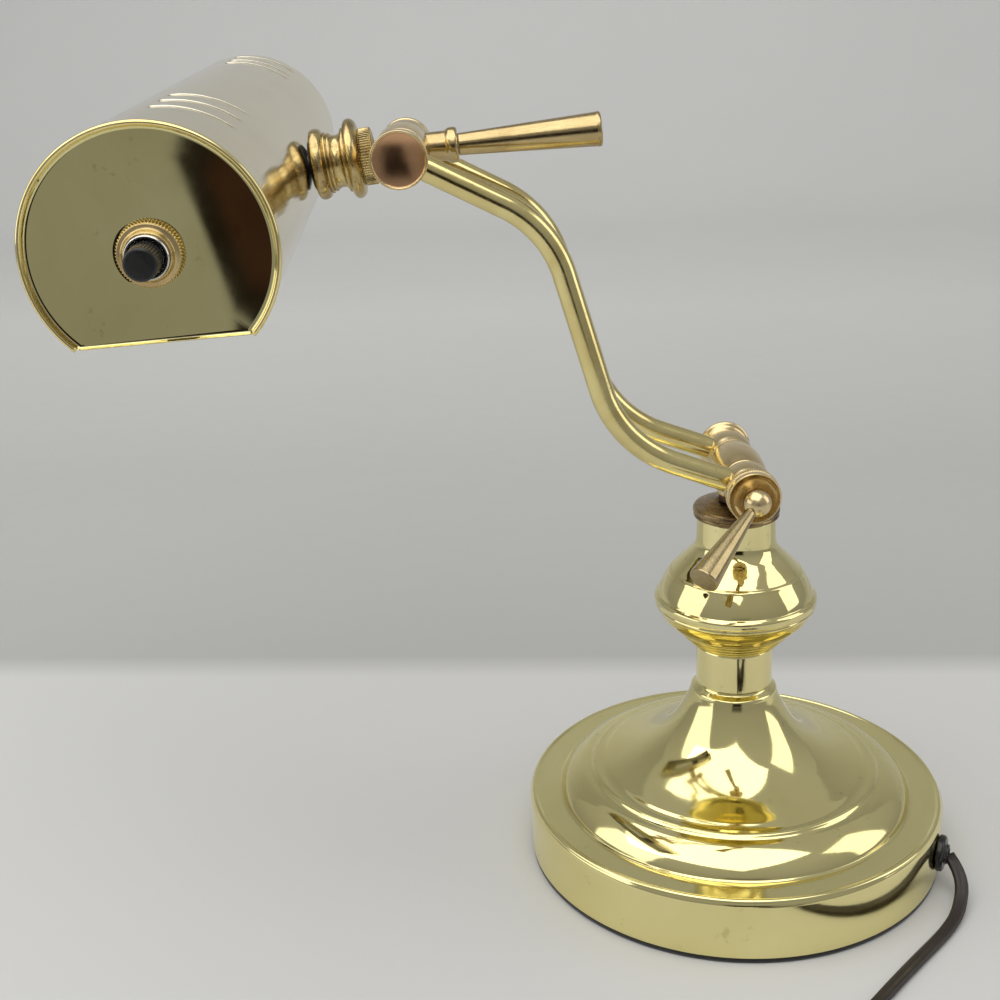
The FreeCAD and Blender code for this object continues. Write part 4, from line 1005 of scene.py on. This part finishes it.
def sheet_obj(name, verts, faces, mat, smooth=True):
    me_ = bpy.data.meshes.new(name)
    me_.from_pydata(verts, [], faces)
    me_.update()
    me_.materials.append(mat)
    if smooth:
        for p in me_.polygons:
            p.use_smooth = True
    o = bpy.data.objects.new(name, me_)
    bpy.context.scene.collection.objects.link(o)
    return o


# one long pale sheet: the table, then behind the lamp a darker grey band that starts a little askew and lightens
# towards a far cove that rises well behind everything; the darker grey is partly a greyer backdrop tone and partly
# painted shade, and its lightening towards the cove is painted light
SHEET_M = Matrix.Translation((-0.121, 0.2215, 0.0)) @ Matrix.Rotation(math.radians(-5.56), 4, "Z")
sheet_mat = bpy.data.materials.new("table_sheet_tone_and_painted_shade")
sheet_mat.use_nodes = True
_nt = sheet_mat.node_tree
_b = _nt.nodes["Principled BSDF"]
_b.inputs["Specular IOR Level"].default_value = 0.3
_tc = _nt.nodes.new("ShaderNodeTexCoord")
_sp = _nt.nodes.new("ShaderNodeSeparateXYZ")
link(_nt, _tc.outputs["Object"], _sp.inputs[0])
_mr = _nt.nodes.new("ShaderNodeMapRange")
_mr.inputs["From Min"].default_value = -1.0
_mr.inputs["From Max"].default_value = 3.0
link(_nt, _sp.outputs["Y"], _mr.inputs["Value"])
# tone along the sheet: plain table, a sudden drop to darker grey that is partly backdrop tone and partly painted shade,
# then painted light brightening towards the cove
_tone = ramp(_nt, _mr.outputs["Result"], [(0.0, (0.60, 0.60, 0.592)), (0.2475, (0.60, 0.60, 0.592)),
                                         (0.2525, (0.425, 0.427, 0.415)), (0.36, (0.50, 0.502, 0.49)), (0.55, (0.74, 0.742, 0.73)),
                                         (1.0, (0.93, 0.932, 0.92))])
_mx = _nt.nodes.new("ShaderNodeMix")
_mx.data_type = "RGBA"
_mx.blend_type = "MULTIPLY"
_mx.inputs["Factor"].default_value = 1.0
link(_nt, _tone, _mx.inputs["A"])
_v = mapped(_nt)
link(_nt, ramp(_nt, noise(_nt, _v, 3.0, 2.0, 0.5), [(0.3, grey(0.985)), (0.7, grey(1.0))]), _mx.inputs["B"])
link(_nt, _mx.outputs["Result"], _b.inputs["Base Color"])
link(_nt, ramp(_nt, noise(_nt, _v, 40.0, 3.0, 0.5), [(0.3, grey(0.5)), (0.7, grey(0.6))]), _b.inputs["Roughness"])
run_yz = [(-1.35, 0.0), (2.0, 0.0)]
for k in range(1, 25):
    a = math.pi / 2 * k / 24
    run_yz.append((2.0 + math.sin(a), 1.0 - math.cos(a)))
run_yz.append((3.0, 4.0))
tv, tf = [], []
for (yy, zz) in run_yz:
    tv += [(-4.0, yy, zz), (4.0, yy, zz)]
for i in range(len(run_yz) - 1):
    tf.append((2 * i, 2 * i + 1, 2 * i + 3, 2 * i + 2))
table = sheet_obj("table_sheet", tv, tf, sheet_mat)
table.matrix_world = SHEET_M


def area(name, at, to, size, power, colour=(1, 1, 1), size_y=None):
    d = bpy.data.lights.new(name, "AREA")
    d.shape = "RECTANGLE"
    d.size = size
    d.size_y = size_y or size
    d.energy = power
    d.color = colour
    o = bpy.data.objects.new(name, d)
    bpy.context.scene.collection.objects.link(o)
    z = (Vector(at) - Vector(to)).normalized()
    q = z.to_track_quat("Z", "Y")
    o.rotation_euler = q.to_euler()
    o.location = at
    return o


area("soft_top", (-0.45, -0.45, 1.9), (-0.05, 0.0, 0.1), 2.8, 33.0, (1.0, 0.99, 0.97), 2.2)
area("soft_left", (-1.9, -0.3, 1.0), (-0.05, 0.0, 0.2), 1.6, 10.5, (0.98, 0.99, 1.0), 1.7)
area("soft_right", (1.5, -0.2, 0.9), (0.0, 0.0, 0.2), 0.8, 4.5, (1.0, 0.98, 0.95), 1.4)

world = bpy.data.worlds.new("studio_air")
bpy.context.scene.world = world
world.use_nodes = True
wn = world.node_tree
bgn = wn.nodes["Background"]
tc = wn.nodes.new("ShaderNodeTexCoord")
sepn = wn.nodes.new("ShaderNodeSeparateXYZ")
link(wn, tc.outputs["Generated"], sepn.inputs[0])
rp = wn.nodes.new("ShaderNodeValToRGB")
els = rp.color_ramp.elements
els[0].position, els[0].color = 0.30, (0.44, 0.44, 0.43, 1)
els[1].position, els[1].color = 0.85, (0.62, 0.62, 0.61, 1)
mid = els.new(0.52)
mid.color = (0.44, 0.44, 0.435, 1)
mr = wn.nodes.new("ShaderNodeMapRange")
mr.inputs["From Min"].default_value = -1.0
mr.inputs["From Max"].default_value = 1.0
link(wn, sepn.outputs["Z"], mr.inputs["Value"])
link(wn, mr.outputs["Result"], rp.inputs["Fac"])


def wmath(op, a, b):
    n = wn.nodes.new("ShaderNodeMath")
    n.operation = op
    for i, v in enumerate((a, b)):
        if isinstance(v, (int, float)):
            n.inputs[i].default_value = v
        else:
            link(wn, v, n.inputs[i])
    return n.outputs[0]


def wstep(v, lo, hi, flip=False):
    n = wn.nodes.new("ShaderNodeMapRange")
    n.inputs["From Min"].default_value = lo
    n.inputs["From Max"].default_value = hi
    n.inputs["To Min"].default_value = 1.0 if flip else 0.0
    n.inputs["To Max"].default_value = 0.0 if flip else 1.0
    link(wn, v, n.inputs["Value"])
    return n.outputs["Result"]


# the dim far side of the studio, low in front of the lamp
slant = wmath("ADD", sepn.outputs["X"], wmath("MULTIPLY", sepn.outputs["Z"], 0.29))
low = wstep(sepn.outputs["Z"], 0.10, 0.22, True)
front = wstep(sepn.outputs["Y"], -0.78, -0.62, True)
dark = wmath("MULTIPLY", wmath("MULTIPLY", wstep(slant, -0.196, -0.191), wstep(sepn.outputs["X"], 0.12, 0.24, True)),
             wmath("MULTIPLY", low, front))
warm = wmath("MULTIPLY", wstep(slant, -0.182, -0.172), wstep(slant, -0.166, -0.156, True))


def wmix(f, a, b):
    n = wn.nodes.new("ShaderNodeMix")
    n.data_type = "RGBA"
    for key, v in (("A", a), ("B", b)):
        if isinstance(v, tuple):
            n.inputs[key].default_value = (*v, 1.0)
        else:
            link(wn, v, n.inputs[key])
    link(wn, f, n.inputs["Factor"])
    return n.outputs["Result"]


shadow = wmix(warm, (0.020, 0.015, 0.012), (0.060, 0.028, 0.020))
air = wmix(dark, rp.outputs["Color"], shadow)
link(wn, air, bgn.inputs["Color"])
bgn.inputs["Strength"].default_value = 0.66
bpy.context.scene.view_settings.view_transform = "Standard"
bpy.context.scene.view_settings.look = "None"
